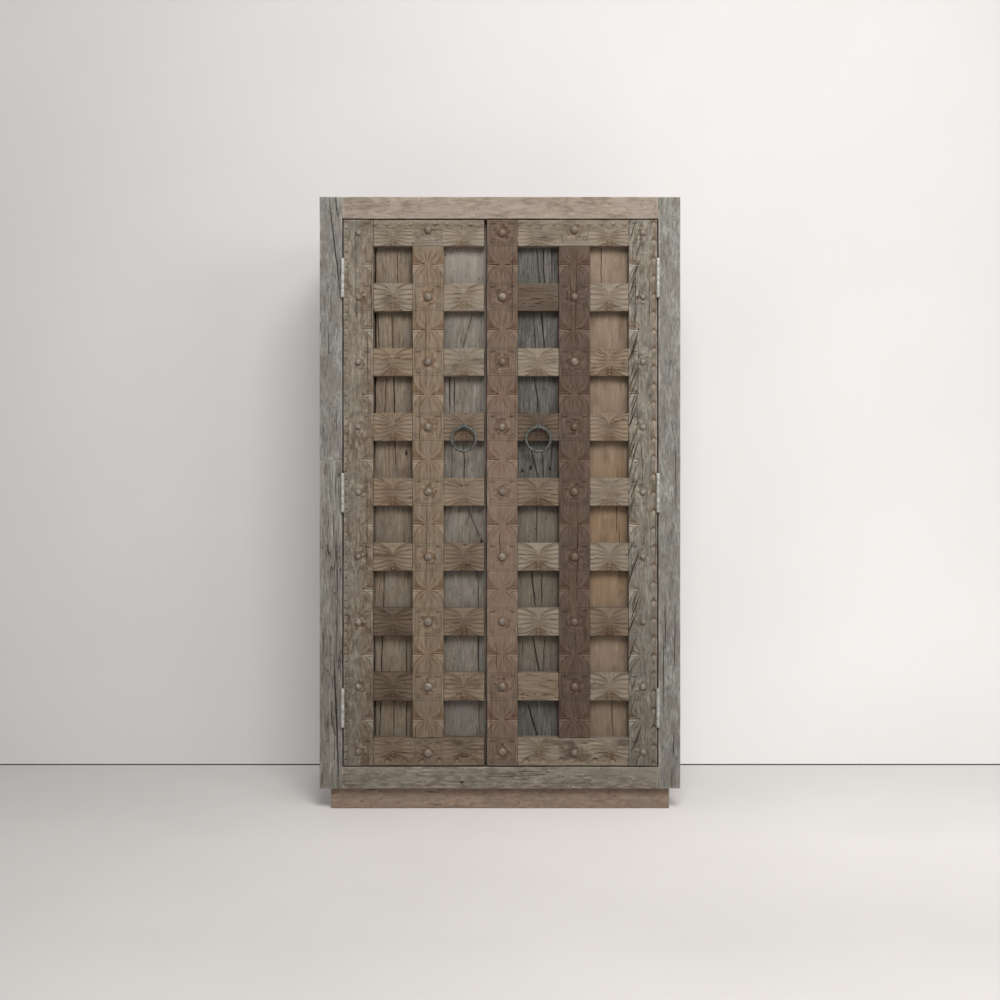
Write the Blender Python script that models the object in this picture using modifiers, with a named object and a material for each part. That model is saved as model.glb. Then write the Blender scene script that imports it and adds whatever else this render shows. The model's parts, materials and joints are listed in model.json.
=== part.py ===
# A two-door bookcase of reclaimed timber. Carved lattice doors hang on butt hinges in a plain face frame.
# Each door is a lattice of rails lapped under upright strips, nailed through to planks with domed studs.
# Metres, +Z up, front towards -Y. The origin is on the floor, under the middle of the bounding box.

import math

import bmesh
import bpy
from mathutils import Matrix, Vector

# Case
CASE_WIDTH = 1.000
CASE_DEPTH = 0.450
CASE_HEIGHT = 1.640
FRAME_THICKNESS = 0.048
LEFT_STILE_WIDTH = 0.063
RIGHT_STILE_WIDTH = 0.061
HEAD_RAIL_HEIGHT = 0.060
SILL_RAIL_HEIGHT = 0.060
SIDE_THICKNESS = 0.028
TOP_THICKNESS = 0.028
FLOOR_THICKNESS = 0.028
BACK_THICKNESS = 0.015
BACK_REBATE = 0.014
SHELF_THICKNESS = 0.026
SHELF_COUNT = 3
HOUSING_DEPTH = 0.009
SIDE_PLANKS = 3
BACK_PLANKS = 6
GROOVE_DEPTH = 0.003
FRAME_EASE = 0.002

# Joints of the face frame
TENON_LENGTH = 0.030
TENON_THICKNESS = 0.015
TENON_SHOULDER = 0.012
SPLICE_HEIGHT = 0.911
SPLICE_LAP = 0.080

# Plinth
PLINTH_HEIGHT = 0.060
PLINTH_THICKNESS = 0.026
PLINTH_SIDE_INSET = 0.028
PLINTH_FRONT_INSET = 0.020
PLINTH_REAR_INSET = 0.010

# Doors
DOOR_GAP = 0.003
MEETING_GAP = 0.0075
PLANK_GAP = 0.0035
MEETING_BEVEL = 0.004
MEETING_X = -0.040
LEFT_HINGE_STILE_WIDTH = 0.082
RIGHT_HINGE_STILE_WIDTH = 0.079
STRIP_WIDTH = 0.086
MEETING_STRIP_WIDTH = 0.085
LEFT_STRIP_SHIFT = 0.0015
RIGHT_STRIP_SHIFT = 0.0035
TOP_RAIL_HEIGHT = 0.073
MID_RAIL_HEIGHT = 0.078
BOTTOM_RAIL_HEIGHT = 0.078
MID_RAIL_COUNT = 7
UPRIGHT_THICKNESS = 0.030
RAIL_SETBACK = 0.002
TONGUE_THICKNESS = 0.014
LAP_COVER = 0.018
PLANK_THICKNESS = 0.020
DOOR_EASE = 0.0015
STOP_CLEARANCE = 0.001

# Studs
STUD_RADIUS = 0.0095
STUD_HEIGHT = 0.0080

# Hinges
HINGE_LENGTH = 0.108
HINGE_INSET = 0.162
KNUCKLE_COUNT = 5
KNUCKLE_RADIUS = 0.0050
KNUCKLE_GAP = 0.0004
PIN_RADIUS = 0.0024
PIN_CLEARANCE = 0.0003
LEAF_THICKNESS = 0.0022
LEAF_DEPTH = 0.027

# Ring pulls
RING_RADIUS = 0.0335
RING_WIRE_RADIUS = 0.0040
RING_ROW = 3
EYE_WIRE_RADIUS = 0.0025
EYE_CLEARANCE = 0.0012
EYE_SINK = 0.0015
ROSE_RADIUS = 0.012
ROSE_THICKNESS = 0.002
SHANK_RADIUS = 0.003
SHANK_LENGTH = 0.024

# Clearance between pieces that touch, and how far a cutter runs past the face that it cuts
FIT_GAP = 0.0003
CUT_PAST = 0.010

# Facets round a full turn
ROUND_SIDES = 12
RING_SIDES = 32

# Places that follow from the sizes above. Depths are measured back from the face frame's front.
HALF_WIDTH = CASE_WIDTH / 2
CASE_BOTTOM = PLINTH_HEIGHT
CASE_TOP = PLINTH_HEIGHT + CASE_HEIGHT
CARCASS_FRONT = FRAME_THICKNESS + FIT_GAP
OPENING_LEFT = -HALF_WIDTH + LEFT_STILE_WIDTH
OPENING_RIGHT = HALF_WIDTH - RIGHT_STILE_WIDTH
OPENING_BOTTOM = CASE_BOTTOM + SILL_RAIL_HEIGHT
OPENING_TOP = CASE_TOP - HEAD_RAIL_HEIGHT
DOOR_BOTTOM = OPENING_BOTTOM + DOOR_GAP
DOOR_TOP = OPENING_TOP - DOOR_GAP
PLANK_FRONT = UPRIGHT_THICKNESS + FIT_GAP
DOOR_THICKNESS = PLANK_FRONT + PLANK_THICKNESS
RAIL_BACK = UPRIGHT_THICKNESS
TONGUE_FRONT = RAIL_BACK - TONGUE_THICKNESS
SIDE_INNER = HALF_WIDTH - SIDE_THICKNESS
FLOOR_TOP = CASE_BOTTOM + FLOOR_THICKNESS
UNDER_TOP = CASE_TOP - TOP_THICKNESS
BACK_FRONT = CASE_DEPTH - BACK_THICKNESS
PIN_DEPTH = -KNUCKLE_RADIUS - FIT_GAP
EYE_RADIUS = RING_WIRE_RADIUS + EYE_CLEARANCE + EYE_WIRE_RADIUS
ROSE_BACK = RAIL_SETBACK - FIT_GAP
EYE_DEPTH = ROSE_BACK - ROSE_THICKNESS - EYE_RADIUS - EYE_WIRE_RADIUS + EYE_SINK
RING_DROP = EYE_CLEARANCE - FIT_GAP
FRONT_REACH = EYE_RADIUS + EYE_WIRE_RADIUS - EYE_DEPTH
FRONT_Y = (FRONT_REACH - CASE_DEPTH) / 2

# Finishes: colour (linear), roughness and metallic value
FINISHES = {
    "grey_timber": ((0.21, 0.20, 0.18), 0.85, 0.0),
    "pale_timber": ((0.34, 0.28, 0.23), 0.80, 0.0),
    "brown_timber": ((0.19, 0.145, 0.105), 0.80, 0.0),
    "dark_timber": ((0.11, 0.075, 0.055), 0.75, 0.0),
    "plank_timber": ((0.20, 0.165, 0.13), 0.85, 0.0),
    "bright_steel": ((0.62, 0.63, 0.62), 0.35, 1.0),
    "dark_iron": ((0.10, 0.11, 0.11), 0.50, 1.0),
}


def clear_scene():
    for obj in list(bpy.data.objects):
        bpy.data.objects.remove(obj)


def new_collection(name):
    made = bpy.data.collections.new(name)
    bpy.context.scene.collection.children.link(made)
    return made


clear_scene()
PARTS = new_collection("bookcase")
CUTTERS = new_collection("bookcase_cutters")


def finish(name):
    """The material of that name, made at its first use."""
    if name in bpy.data.materials:
        return bpy.data.materials[name]
    colour, roughness, metallic = FINISHES[name]
    made = bpy.data.materials.new(name)
    made.use_nodes = True
    shader = made.node_tree.nodes["Principled BSDF"]
    shader.inputs["Base Color"].default_value = (*colour, 1.0)
    shader.inputs["Roughness"].default_value = roughness
    shader.inputs["Metallic"].default_value = metallic
    return made


def anchor(name, place, parent=None):
    """An empty that carries pieces. Its place is in the bookcase's own frame."""
    empty = bpy.data.objects.new(name, None)
    empty.parent = parent
    empty.location = Vector(place)
    PARTS.objects.link(empty)
    return empty


BOOKCASE = anchor("bookcase_frame", (0, FRONT_Y, 0))


def place_of(empty):
    """Where an empty stands in the bookcase's frame."""
    place = Vector()
    while empty is not None and empty is not BOOKCASE:
        place += empty.location
        empty = empty.parent
    return place


def add_part(name, mesh, material, carrier, origin):
    """A named part whose mesh is drawn about origin, a point of the bookcase's frame."""
    obj = bpy.data.objects.new(name, mesh)
    obj.parent = carrier
    obj.location = Vector(origin) - place_of(carrier)
    mesh.materials.append(finish(material))
    PARTS.objects.link(obj)
    return obj


def add_cutter(name, mesh):
    """A hidden shape in the bookcase's frame, for a Boolean to cut with or to join."""
    obj = bpy.data.objects.new(name, mesh)
    obj.parent = BOOKCASE
    obj.hide_render = True
    obj.display_type = "WIRE"
    CUTTERS.objects.link(obj)
    return obj


def mesh_from(name, form):
    mesh = bpy.data.meshes.new(name)
    form.to_mesh(mesh)
    form.free()
    return mesh


def add_box(form, low, high):
    """One box between two corners, added to a bmesh."""
    low, high = Vector(low), Vector(high)
    made = bmesh.ops.create_cube(form, size=1.0)
    bmesh.ops.scale(form, vec=high - low, verts=made["verts"])
    bmesh.ops.translate(form, vec=(low + high) / 2, verts=made["verts"])


def add_rod(form, start, end, radius, sides=ROUND_SIDES):
    """One round rod between two points, added to a bmesh."""
    start, end = Vector(start), Vector(end)
    turn = Vector((0, 0, 1)).rotation_difference(end - start).to_matrix().to_4x4()
    bmesh.ops.create_cone(
        form,
        cap_ends=True,
        segments=sides,
        radius1=radius,
        radius2=radius,
        depth=(end - start).length,
        matrix=Matrix.Translation((start + end) / 2) @ turn,
    )


def boxes(name, corners):
    form = bmesh.new()
    for low, high in corners:
        add_box(form, low, high)
    return mesh_from(name, form)


def ease_edges(obj, width):
    bevel = obj.modifiers.new("eased_edges", "BEVEL")
    bevel.width = width
    bevel.segments = 1
    bevel.limit_method = "ANGLE"


def combine(obj, operation, other):
    boolean = obj.modifiers.new(operation.lower(), "BOOLEAN")
    boolean.operation = operation
    boolean.solver = "EXACT"
    boolean.object = other


def cut_boxes(obj, corners):
    """Cuts every box of a list of corner pairs out of a part."""
    if corners:
        combine(obj, "DIFFERENCE", add_cutter(obj.name + "_cuts", boxes(obj.name + "_cuts", corners)))


def board(name, low, high, material, carrier=BOOKCASE, ease=FRAME_EASE):
    """A sawn board between two corners of the bookcase's frame, with eased edges."""
    low, high = Vector(low), Vector(high)
    middle = (low + high) / 2
    obj = add_part(name, boxes(name, [(low - middle, high - middle)]), material, carrier, middle)
    ease_edges(obj, ease)
    return obj


def outline_mesh(name, points, thickness):
    """A flat outline in X and Y as a closed slab about Z = 0."""
    curve = bpy.data.curves.new(name, "CURVE")
    curve.dimensions = "2D"
    curve.fill_mode = "BOTH"
    curve.extrude = thickness / 2
    spline = curve.splines.new("POLY")
    spline.points.add(len(points) - 1)
    for point, (x, y) in zip(spline.points, points):
        point.co = (x, y, 0, 1)
    spline.use_cyclic_u = True
    guide = bpy.data.objects.new(name + "_outline", curve)
    PARTS.objects.link(guide)
    bpy.context.view_layer.update()
    mesh = bpy.data.meshes.new_from_object(guide.evaluated_get(bpy.context.evaluated_depsgraph_get()))
    bpy.data.objects.remove(guide)
    form = bmesh.new()
    form.from_mesh(mesh)
    bmesh.ops.remove_doubles(form, verts=form.verts, dist=FIT_GAP / 10)
    bmesh.ops.dissolve_limit(form, angle_limit=math.radians(1), verts=form.verts, edges=form.edges)
    bmesh.ops.recalc_face_normals(form, faces=form.faces)
    form.to_mesh(mesh)
    form.free()
    mesh.materials.clear()
    mesh.name = name
    return mesh


# Turns an outline drawn in (X, Y) into depth and height, extruded across the bookcase's width
UPRIGHT_ACROSS = Matrix(((0, 0, 1, 0), (1, 0, 0, 0), (0, 1, 0, 0), (0, 0, 0, 1)))


def grooved_edge(start, end, count, level, inward):
    """Points along a planked face from start to end, with a V groove at each joint between count planks."""
    points = []
    for i in range(1, count):
        joint = start + (end - start) * i / count
        step = math.copysign(GROOVE_DEPTH, end - start)
        points += [(joint - step, level), (joint, level + inward * GROOVE_DEPTH), (joint + step, level)]
    return points


def build_plinth():
    outer = HALF_WIDTH - PLINTH_SIDE_INSET
    inner = outer - PLINTH_THICKNESS - FIT_GAP
    front = PLINTH_FRONT_INSET
    rear = CASE_DEPTH - PLINTH_REAR_INSET
    top = PLINTH_HEIGHT - FIT_GAP
    side_front = front + PLINTH_THICKNESS + FIT_GAP
    board("plinth_front", (-outer, front, 0), (outer, front + PLINTH_THICKNESS, top), "brown_timber")
    board("plinth_rear", (-inner, rear - PLINTH_THICKNESS, 0), (inner, rear, top), "brown_timber")
    for name, sign in (("left", -1), ("right", 1)):
        edges = sorted((sign * outer, sign * (outer - PLINTH_THICKNESS)))
        board(f"plinth_{name}", (edges[0], side_front, 0), (edges[1], rear, top), "brown_timber")


def shelf_heights():
    """The underside of each shelf, the bays being equal."""
    bay = (UNDER_TOP - FLOOR_TOP - SHELF_COUNT * SHELF_THICKNESS) / (SHELF_COUNT + 1)
    return [FLOOR_TOP + bay + i * (bay + SHELF_THICKNESS) for i in range(SHELF_COUNT)]


def build_sides():
    """Planked sides, rebated for the back and housed for the floor and the shelves."""
    height = UNDER_TOP - FIT_GAP - CASE_BOTTOM
    levels = [(CASE_BOTTOM - CUT_PAST, FLOOR_TOP + FIT_GAP)]
    levels += [(under - FIT_GAP, under + SHELF_THICKNESS + FIT_GAP) for under in shelf_heights()]
    housing = SIDE_INNER + HOUSING_DEPTH + FIT_GAP
    rear = BACK_FRONT - FIT_GAP
    for name, sign in (("left", -1), ("right", 1)):
        face = [(CARCASS_FRONT, HALF_WIDTH)]
        face += grooved_edge(CARCASS_FRONT, CASE_DEPTH, SIDE_PLANKS, HALF_WIDTH, -1)
        face += [
            (CASE_DEPTH, HALF_WIDTH),
            (CASE_DEPTH, SIDE_INNER + BACK_REBATE),
            (rear, SIDE_INNER + BACK_REBATE),
            (rear, SIDE_INNER),
            (CARCASS_FRONT, SIDE_INNER),
        ]
        mesh = outline_mesh(f"side_{name}", [(sign * x, y) for y, x in face], height)
        middle = (0, 0, CASE_BOTTOM + height / 2)
        side = add_part(f"side_{name}", mesh, "grey_timber", BOOKCASE, middle)
        cuts = []
        for under, over in levels:
            span = sorted((sign * (SIDE_INNER - CUT_PAST), sign * housing))
            low = (span[0], CARCASS_FRONT - CUT_PAST, under)
            cuts.append((low, (span[1], CASE_DEPTH + CUT_PAST, over)))
        cut_boxes(side, cuts)


def build_carcass():
    housed = SIDE_INNER + HOUSING_DEPTH
    rear = BACK_FRONT - FIT_GAP
    low = (-HALF_WIDTH, CARCASS_FRONT, UNDER_TOP)
    board("top_board", low, (HALF_WIDTH, CASE_DEPTH, CASE_TOP), "pale_timber")
    board("floor_board", (-housed, CARCASS_FRONT, CASE_BOTTOM), (housed, rear, FLOOR_TOP), "plank_timber")
    for i, under in enumerate(shelf_heights()):
        low = (-housed, DOOR_THICKNESS + STOP_CLEARANCE, under)
        board(f"shelf_{i + 1}", low, (housed, rear, under + SHELF_THICKNESS), "plank_timber")
    build_sides()
    build_back()


def build_back():
    """Back planks as one glued panel, let into the rebates of the sides."""
    edge = SIDE_INNER + BACK_REBATE - FIT_GAP
    bottom = CASE_BOTTOM
    height = UNDER_TOP - FIT_GAP - bottom
    rear_face = [(-x, y) for x, y in grooved_edge(-edge, edge, BACK_PLANKS, CASE_DEPTH, -1)]
    points = [(-edge, BACK_FRONT), (edge, BACK_FRONT), (edge, CASE_DEPTH)]
    points += rear_face
    points += [(-edge, CASE_DEPTH)]
    mesh = outline_mesh("back_panel", points, height)
    add_part("back_panel", mesh, "plank_timber", BOOKCASE, (0, 0, bottom + height / 2))


def tenon_span():
    middle = FRAME_THICKNESS / 2
    return middle - TENON_THICKNESS / 2, middle + TENON_THICKNESS / 2


def frame_rail(name, bottom, top, material):
    """A rail between the stiles, with a tenon at each end."""
    low = (OPENING_LEFT + FIT_GAP, 0, bottom)
    rail = board(name, low, (OPENING_RIGHT - FIT_GAP, FRAME_THICKNESS, top), material)
    front, back = tenon_span()
    tenon = boxes(
        name + "_tenons",
        [
            (
                (OPENING_LEFT - TENON_LENGTH, front, bottom + TENON_SHOULDER),
                (OPENING_RIGHT + TENON_LENGTH, back, top - TENON_SHOULDER),
            )
        ],
    )
    combine(rail, "UNION", add_cutter(name + "_tenons", tenon))


def frame_mortises(edge, sign):
    """Pockets for both rails' tenons in a stile whose inner edge is at edge, opening towards sign."""
    front, back = tenon_span()
    found = []
    for bottom, top in ((CASE_BOTTOM, OPENING_BOTTOM), (OPENING_TOP, CASE_TOP)):
        span = sorted((edge + sign * CUT_PAST, edge - sign * (TENON_LENGTH + FIT_GAP)))
        low = (span[0], front - FIT_GAP, bottom + TENON_SHOULDER - FIT_GAP)
        high = (span[1], back + FIT_GAP, top - TENON_SHOULDER + FIT_GAP)
        found.append((low, high))
    return found


def hinge_heights():
    """The middle of each door's three hinges."""
    low, high = DOOR_BOTTOM + HINGE_INSET, DOOR_TOP - HINGE_INSET
    return {"lower": low, "middle": (low + high) / 2, "upper": high}


def hinge_mortises(edge, sign):
    """Beds for three hinge leaves in a wooden edge that faces sign."""
    bed = edge - sign * (LEAF_THICKNESS + FIT_GAP)
    span = sorted((edge + sign * CUT_PAST, bed))
    reach = HINGE_LENGTH / 2 + FIT_GAP
    return [
        ((span[0], -CUT_PAST, z - reach), (span[1], LEAF_DEPTH + FIT_GAP, z + reach))
        for z in hinge_heights().values()
    ]


def stile_piece(name, outline, material):
    """A length of the left stile from its outline in depth and height."""
    mesh = outline_mesh(name, outline, LEFT_STILE_WIDTH)
    mesh.transform(UPRIGHT_ACROSS)
    piece = add_part(name, mesh, material, BOOKCASE, (OPENING_LEFT - LEFT_STILE_WIDTH / 2, 0, 0))
    ease_edges(piece, FRAME_EASE)
    cut_boxes(piece, frame_mortises(OPENING_LEFT, 1) + hinge_mortises(OPENING_LEFT, 1))


def build_face_frame():
    frame_rail("head_rail", OPENING_TOP, CASE_TOP, "pale_timber")
    frame_rail("sill_rail", CASE_BOTTOM, OPENING_BOTTOM, "grey_timber")
    # The left stile is spliced: a tongue of the lower length laps up behind the upper one
    splice = CASE_BOTTOM + SPLICE_HEIGHT
    lap_end = splice + SPLICE_LAP
    tongue = FRAME_THICKNESS / 2
    back = FRAME_THICKNESS
    lower = [
        (0, CASE_BOTTOM),
        (back, CASE_BOTTOM),
        (back, lap_end),
        (tongue, lap_end),
        (tongue, splice),
        (0, splice),
    ]
    over, clear = FIT_GAP, tongue - FIT_GAP
    upper = [
        (0, splice + over),
        (clear, splice + over),
        (clear, lap_end + over),
        (back, lap_end + over),
        (back, CASE_TOP),
        (0, CASE_TOP),
    ]
    stile_piece("left_stile_lower", lower, "grey_timber")
    stile_piece("left_stile_upper", upper, "grey_timber")
    low = (OPENING_RIGHT, 0, CASE_BOTTOM)
    right = board("right_stile", low, (HALF_WIDTH, FRAME_THICKNESS, CASE_TOP), "grey_timber")
    cut_boxes(right, frame_mortises(OPENING_RIGHT, -1) + hinge_mortises(OPENING_RIGHT, -1))


def rail_rows():
    """(name, bottom, top) of every rail of a door, from the top down, with equal gaps between them."""
    heights = [TOP_RAIL_HEIGHT] + [MID_RAIL_HEIGHT] * MID_RAIL_COUNT + [BOTTOM_RAIL_HEIGHT]
    names = ["top_rail"] + [f"rail_{i + 1}" for i in range(MID_RAIL_COUNT)] + ["bottom_rail"]
    recess = (DOOR_TOP - DOOR_BOTTOM - sum(heights)) / (len(heights) - 1)
    rows, top = [], DOOR_TOP
    for name, height in zip(names, heights):
        rows.append((name, top - height, top))
        top -= height + recess
    return rows


class Door:
    """Where a door's pieces lie. Distances across run from its hinge edge to its meeting edge.

    The mid strip stands strip_shift nearer the hinges than the middle of its bay. The planks of the
    door that has no meeting strip reach past its rails, towards the other door's planks.
    """

    def __init__(self, name, hand, hinge_edge, meeting_edge, stile_width, strip_shift, meeting_strip):
        self.name = name
        self.hand = hand
        self.hinge_edge = hinge_edge
        self.width = abs(meeting_edge - hinge_edge)
        self.stile = (0.0, stile_width)
        self.meeting = (self.width - meeting_strip, self.width)
        self.plank_end = self.width if meeting_strip else self.width + MEETING_GAP - PLANK_GAP
        middle = (stile_width + self.meeting[0]) / 2 - strip_shift
        self.strip = (middle - STRIP_WIDTH / 2, middle + STRIP_WIDTH / 2)
        self.pin_x = hinge_edge - hand * DOOR_GAP / 2
        self.carrier = anchor(name, (self.pin_x, PIN_DEPTH, 0), BOOKCASE)

    def across(self, span):
        """The low and high X of a span across the door."""
        return sorted(self.hinge_edge + self.hand * u for u in span)

    def box(self, span, depths, heights):
        left, right = self.across(span)
        return (left, depths[0], heights[0]), (right, depths[1], heights[1])

    def board(self, part, span, depths, heights, material):
        low, high = self.box(span, depths, heights)
        return board(f"{self.name}_{part}", low, high, material, self.carrier, DOOR_EASE)


def middle_of(span):
    return (span[0] + span[1]) / 2


def drive_studs(obj, places):
    """Joins a domed stud to a part at each (x, depth, z)."""
    form = bmesh.new()
    for place in places:
        made = bmesh.ops.create_uvsphere(form, u_segments=ROUND_SIDES, v_segments=6, radius=1.0)
        bmesh.ops.scale(form, vec=(STUD_RADIUS, STUD_HEIGHT, STUD_RADIUS), verts=made["verts"])
        bmesh.ops.translate(form, vec=Vector(place), verts=made["verts"])
    combine(obj, "UNION", add_cutter(obj.name + "_studs", mesh_from(obj.name + "_studs", form)))


def upright(door, part, span, heights, material, laps):
    """An upright of the lattice, notched at the back where rails lap under it and studded over each lap."""
    piece = door.board(part, span, (0, UPRIGHT_THICKNESS), heights, material)
    notch = (TONGUE_FRONT - FIT_GAP, UPRIGHT_THICKNESS + CUT_PAST)
    rows = [(low - FIT_GAP, high + FIT_GAP) for low, high in laps["rows"]]
    cut_boxes(piece, [door.box(laps["span"], notch, row) for row in rows])
    x = middle_of(door.across(span))
    drive_studs(piece, [(x, 0, middle_of(row)) for row in laps["rows"]])
    return piece


def build_rail(door, name, heights, laps_strip):
    """A rail with half-thick tongues under the uprights at its ends, halved under the mid strip."""
    shown = (door.stile[1] + FIT_GAP, door.meeting[0])
    tongue = [LAP_COVER, door.width]
    if door.meeting[0] < door.width:
        shown = (shown[0], door.meeting[0] - FIT_GAP)
        tongue[1] = door.width - LAP_COVER
    material = "brown_timber" if door.hand > 0 else "plank_timber"
    rail = door.board(name, shown, (RAIL_SETBACK, RAIL_BACK), heights, material)
    if laps_strip:
        halving = (door.strip[0] - FIT_GAP, door.strip[1] + FIT_GAP)
        depths = (RAIL_SETBACK - CUT_PAST, TONGUE_FRONT)
        cut_boxes(rail, [door.box(halving, depths, pad(heights, CUT_PAST))])
    else:
        drive_studs(rail, [(middle_of(door.across(door.strip)), RAIL_SETBACK, middle_of(heights))])
    lap = door.box(tongue, (TONGUE_FRONT, RAIL_BACK), pad(heights, -FIT_GAP))
    combine(rail, "UNION", add_cutter(rail.name + "_tongues", boxes(rail.name + "_tongues", [lap])))
    return rail


def pad(span, amount):
    return span[0] - amount, span[1] + amount


def build_planks(door, materials):
    """Two planks behind the lattice. Their joint is hidden behind the mid strip.

    The inner plank's meeting edge is bevelled towards the inside, so that both doors swing clear.
    """
    joint = middle_of(door.strip)
    heights = (DOOR_BOTTOM, DOOR_TOP)
    depths = (PLANK_FRONT, DOOR_THICKNESS)
    door.board("outer_plank", (0, joint - FIT_GAP), depths, heights, materials[0])
    reach = door.plank_end - joint
    section = [(0, 0), (reach, 0), (reach - MEETING_BEVEL, PLANK_THICKNESS), (0, PLANK_THICKNESS)]
    name = f"{door.name}_inner_plank"
    mesh = outline_mesh(name, [(door.hand * u, depth) for u, depth in section], DOOR_TOP - DOOR_BOTTOM)
    corner = (door.hinge_edge + door.hand * joint, PLANK_FRONT, middle_of(heights))
    ease_edges(add_part(name, mesh, materials[1], door.carrier, corner), DOOR_EASE)


def build_door(door, upright_material, strip_material, plank_materials):
    rows = rail_rows()
    spans = [(bottom, top) for _, bottom, top in rows]
    whole = (DOOR_BOTTOM, DOOR_TOP)
    laps = {"rows": spans, "span": (LAP_COVER - FIT_GAP, door.stile[1] + CUT_PAST)}
    stile = upright(door, "hinge_stile", door.stile, whole, upright_material, laps)
    cut_boxes(stile, hinge_mortises(door.hinge_edge, -door.hand))
    between = (spans[-1][1] + FIT_GAP, spans[0][0] - FIT_GAP)
    laps = {"rows": spans[1:-1], "span": pad(door.strip, CUT_PAST)}
    upright(door, "mid_strip", door.strip, between, strip_material, laps)
    if door.meeting[0] < door.width:
        under = (door.meeting[0] - CUT_PAST, door.width - LAP_COVER + FIT_GAP)
        laps = {"rows": spans, "span": under}
        upright(door, "meeting_strip", door.meeting, whole, strip_material, laps)
    rails = {}
    for i, (name, bottom, top) in enumerate(rows):
        rails[i] = build_rail(door, name, (bottom, top), 0 < i < len(rows) - 1)
    build_planks(door, plank_materials)
    build_ring_pull(door, rails[RING_ROW], middle_of(spans[RING_ROW]))
    for name, height in hinge_heights().items():
        build_hinge(door, name, height)


def knuckle_spans(height):
    """The bottom and top of each knuckle of a hinge, from the bottom up."""
    length = (HINGE_LENGTH - (KNUCKLE_COUNT - 1) * KNUCKLE_GAP) / KNUCKLE_COUNT
    start = height - HINGE_LENGTH / 2
    return [
        (start + i * (length + KNUCKLE_GAP), start + i * (length + KNUCKLE_GAP) + length)
        for i in range(KNUCKLE_COUNT)
    ]


def leaf_outline(height, own):
    """A hinge leaf in depth and height: a plate with a tab that runs out to each of its own knuckles."""
    bottom, top = height - HINGE_LENGTH / 2, height + HINGE_LENGTH / 2
    points = [(LEAF_DEPTH, top), (LEAF_DEPTH, bottom), (0, bottom)]
    for low, high in own:
        points += [(0, low), (PIN_DEPTH, low), (PIN_DEPTH, high), (0, high)]
    points.append((0, top))
    return [p for i, p in enumerate(points) if i == 0 or p != points[i - 1]]


def hinge_leaf(name, carrier, pin_x, plate_x, height, own):
    """A leaf plate joined to its own knuckles. Plate_x is the middle of the plate's thickness."""
    mesh = outline_mesh(name, leaf_outline(height, own), LEAF_THICKNESS)
    mesh.transform(UPRIGHT_ACROSS)
    leaf = add_part(name, mesh, "bright_steel", carrier, (plate_x, 0, 0))
    form = bmesh.new()
    for low, high in own:
        add_rod(form, (pin_x, PIN_DEPTH, low), (pin_x, PIN_DEPTH, high), KNUCKLE_RADIUS)
    combine(leaf, "UNION", add_cutter(name + "_knuckles", mesh_from(name + "_knuckles", form)))
    return leaf


def build_hinge(door, name, height):
    """A butt hinge: the pin is fast in the frame leaf's knuckles and runs free in the door leaf's."""
    knuckles = knuckle_spans(height)
    bottom, top = knuckles[0][0], knuckles[-1][1]
    from_pin = door.hand * (DOOR_GAP / 2 + LEAF_THICKNESS / 2)
    label = f"{door.name.split('_')[0]}_{name}_hinge"
    plate_x = door.pin_x - from_pin
    frame = hinge_leaf(f"{label}_frame_leaf", BOOKCASE, door.pin_x, plate_x, height, knuckles[0::2])
    form = bmesh.new()
    ends = [(door.pin_x, PIN_DEPTH, middle_of(knuckle)) for knuckle in (knuckles[0], knuckles[-1])]
    add_rod(form, ends[0], ends[1], PIN_RADIUS)
    combine(frame, "UNION", add_cutter(f"{label}_pin", mesh_from(f"{label}_pin", form)))
    plate_x = door.pin_x + from_pin
    leaf = hinge_leaf(f"{label}_door_leaf", door.carrier, door.pin_x, plate_x, height, knuckles[1::2])
    form = bmesh.new()
    bore = (PIN_RADIUS + PIN_CLEARANCE) / math.cos(math.pi / ROUND_SIDES)
    add_rod(form, (door.pin_x, PIN_DEPTH, bottom), (door.pin_x, PIN_DEPTH, top), bore)
    combine(leaf, "DIFFERENCE", add_cutter(f"{label}_bore", mesh_from(f"{label}_bore", form)))


def torus_mesh(name, radius, wire, sides):
    """A ring about the Z axis."""
    bpy.ops.mesh.primitive_torus_add(
        major_radius=radius, minor_radius=wire, major_segments=sides, minor_segments=ROUND_SIDES
    )
    made = bpy.context.object
    mesh = made.data
    bpy.data.objects.remove(made)
    mesh.name = name
    mesh.shade_smooth()
    return mesh


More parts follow.
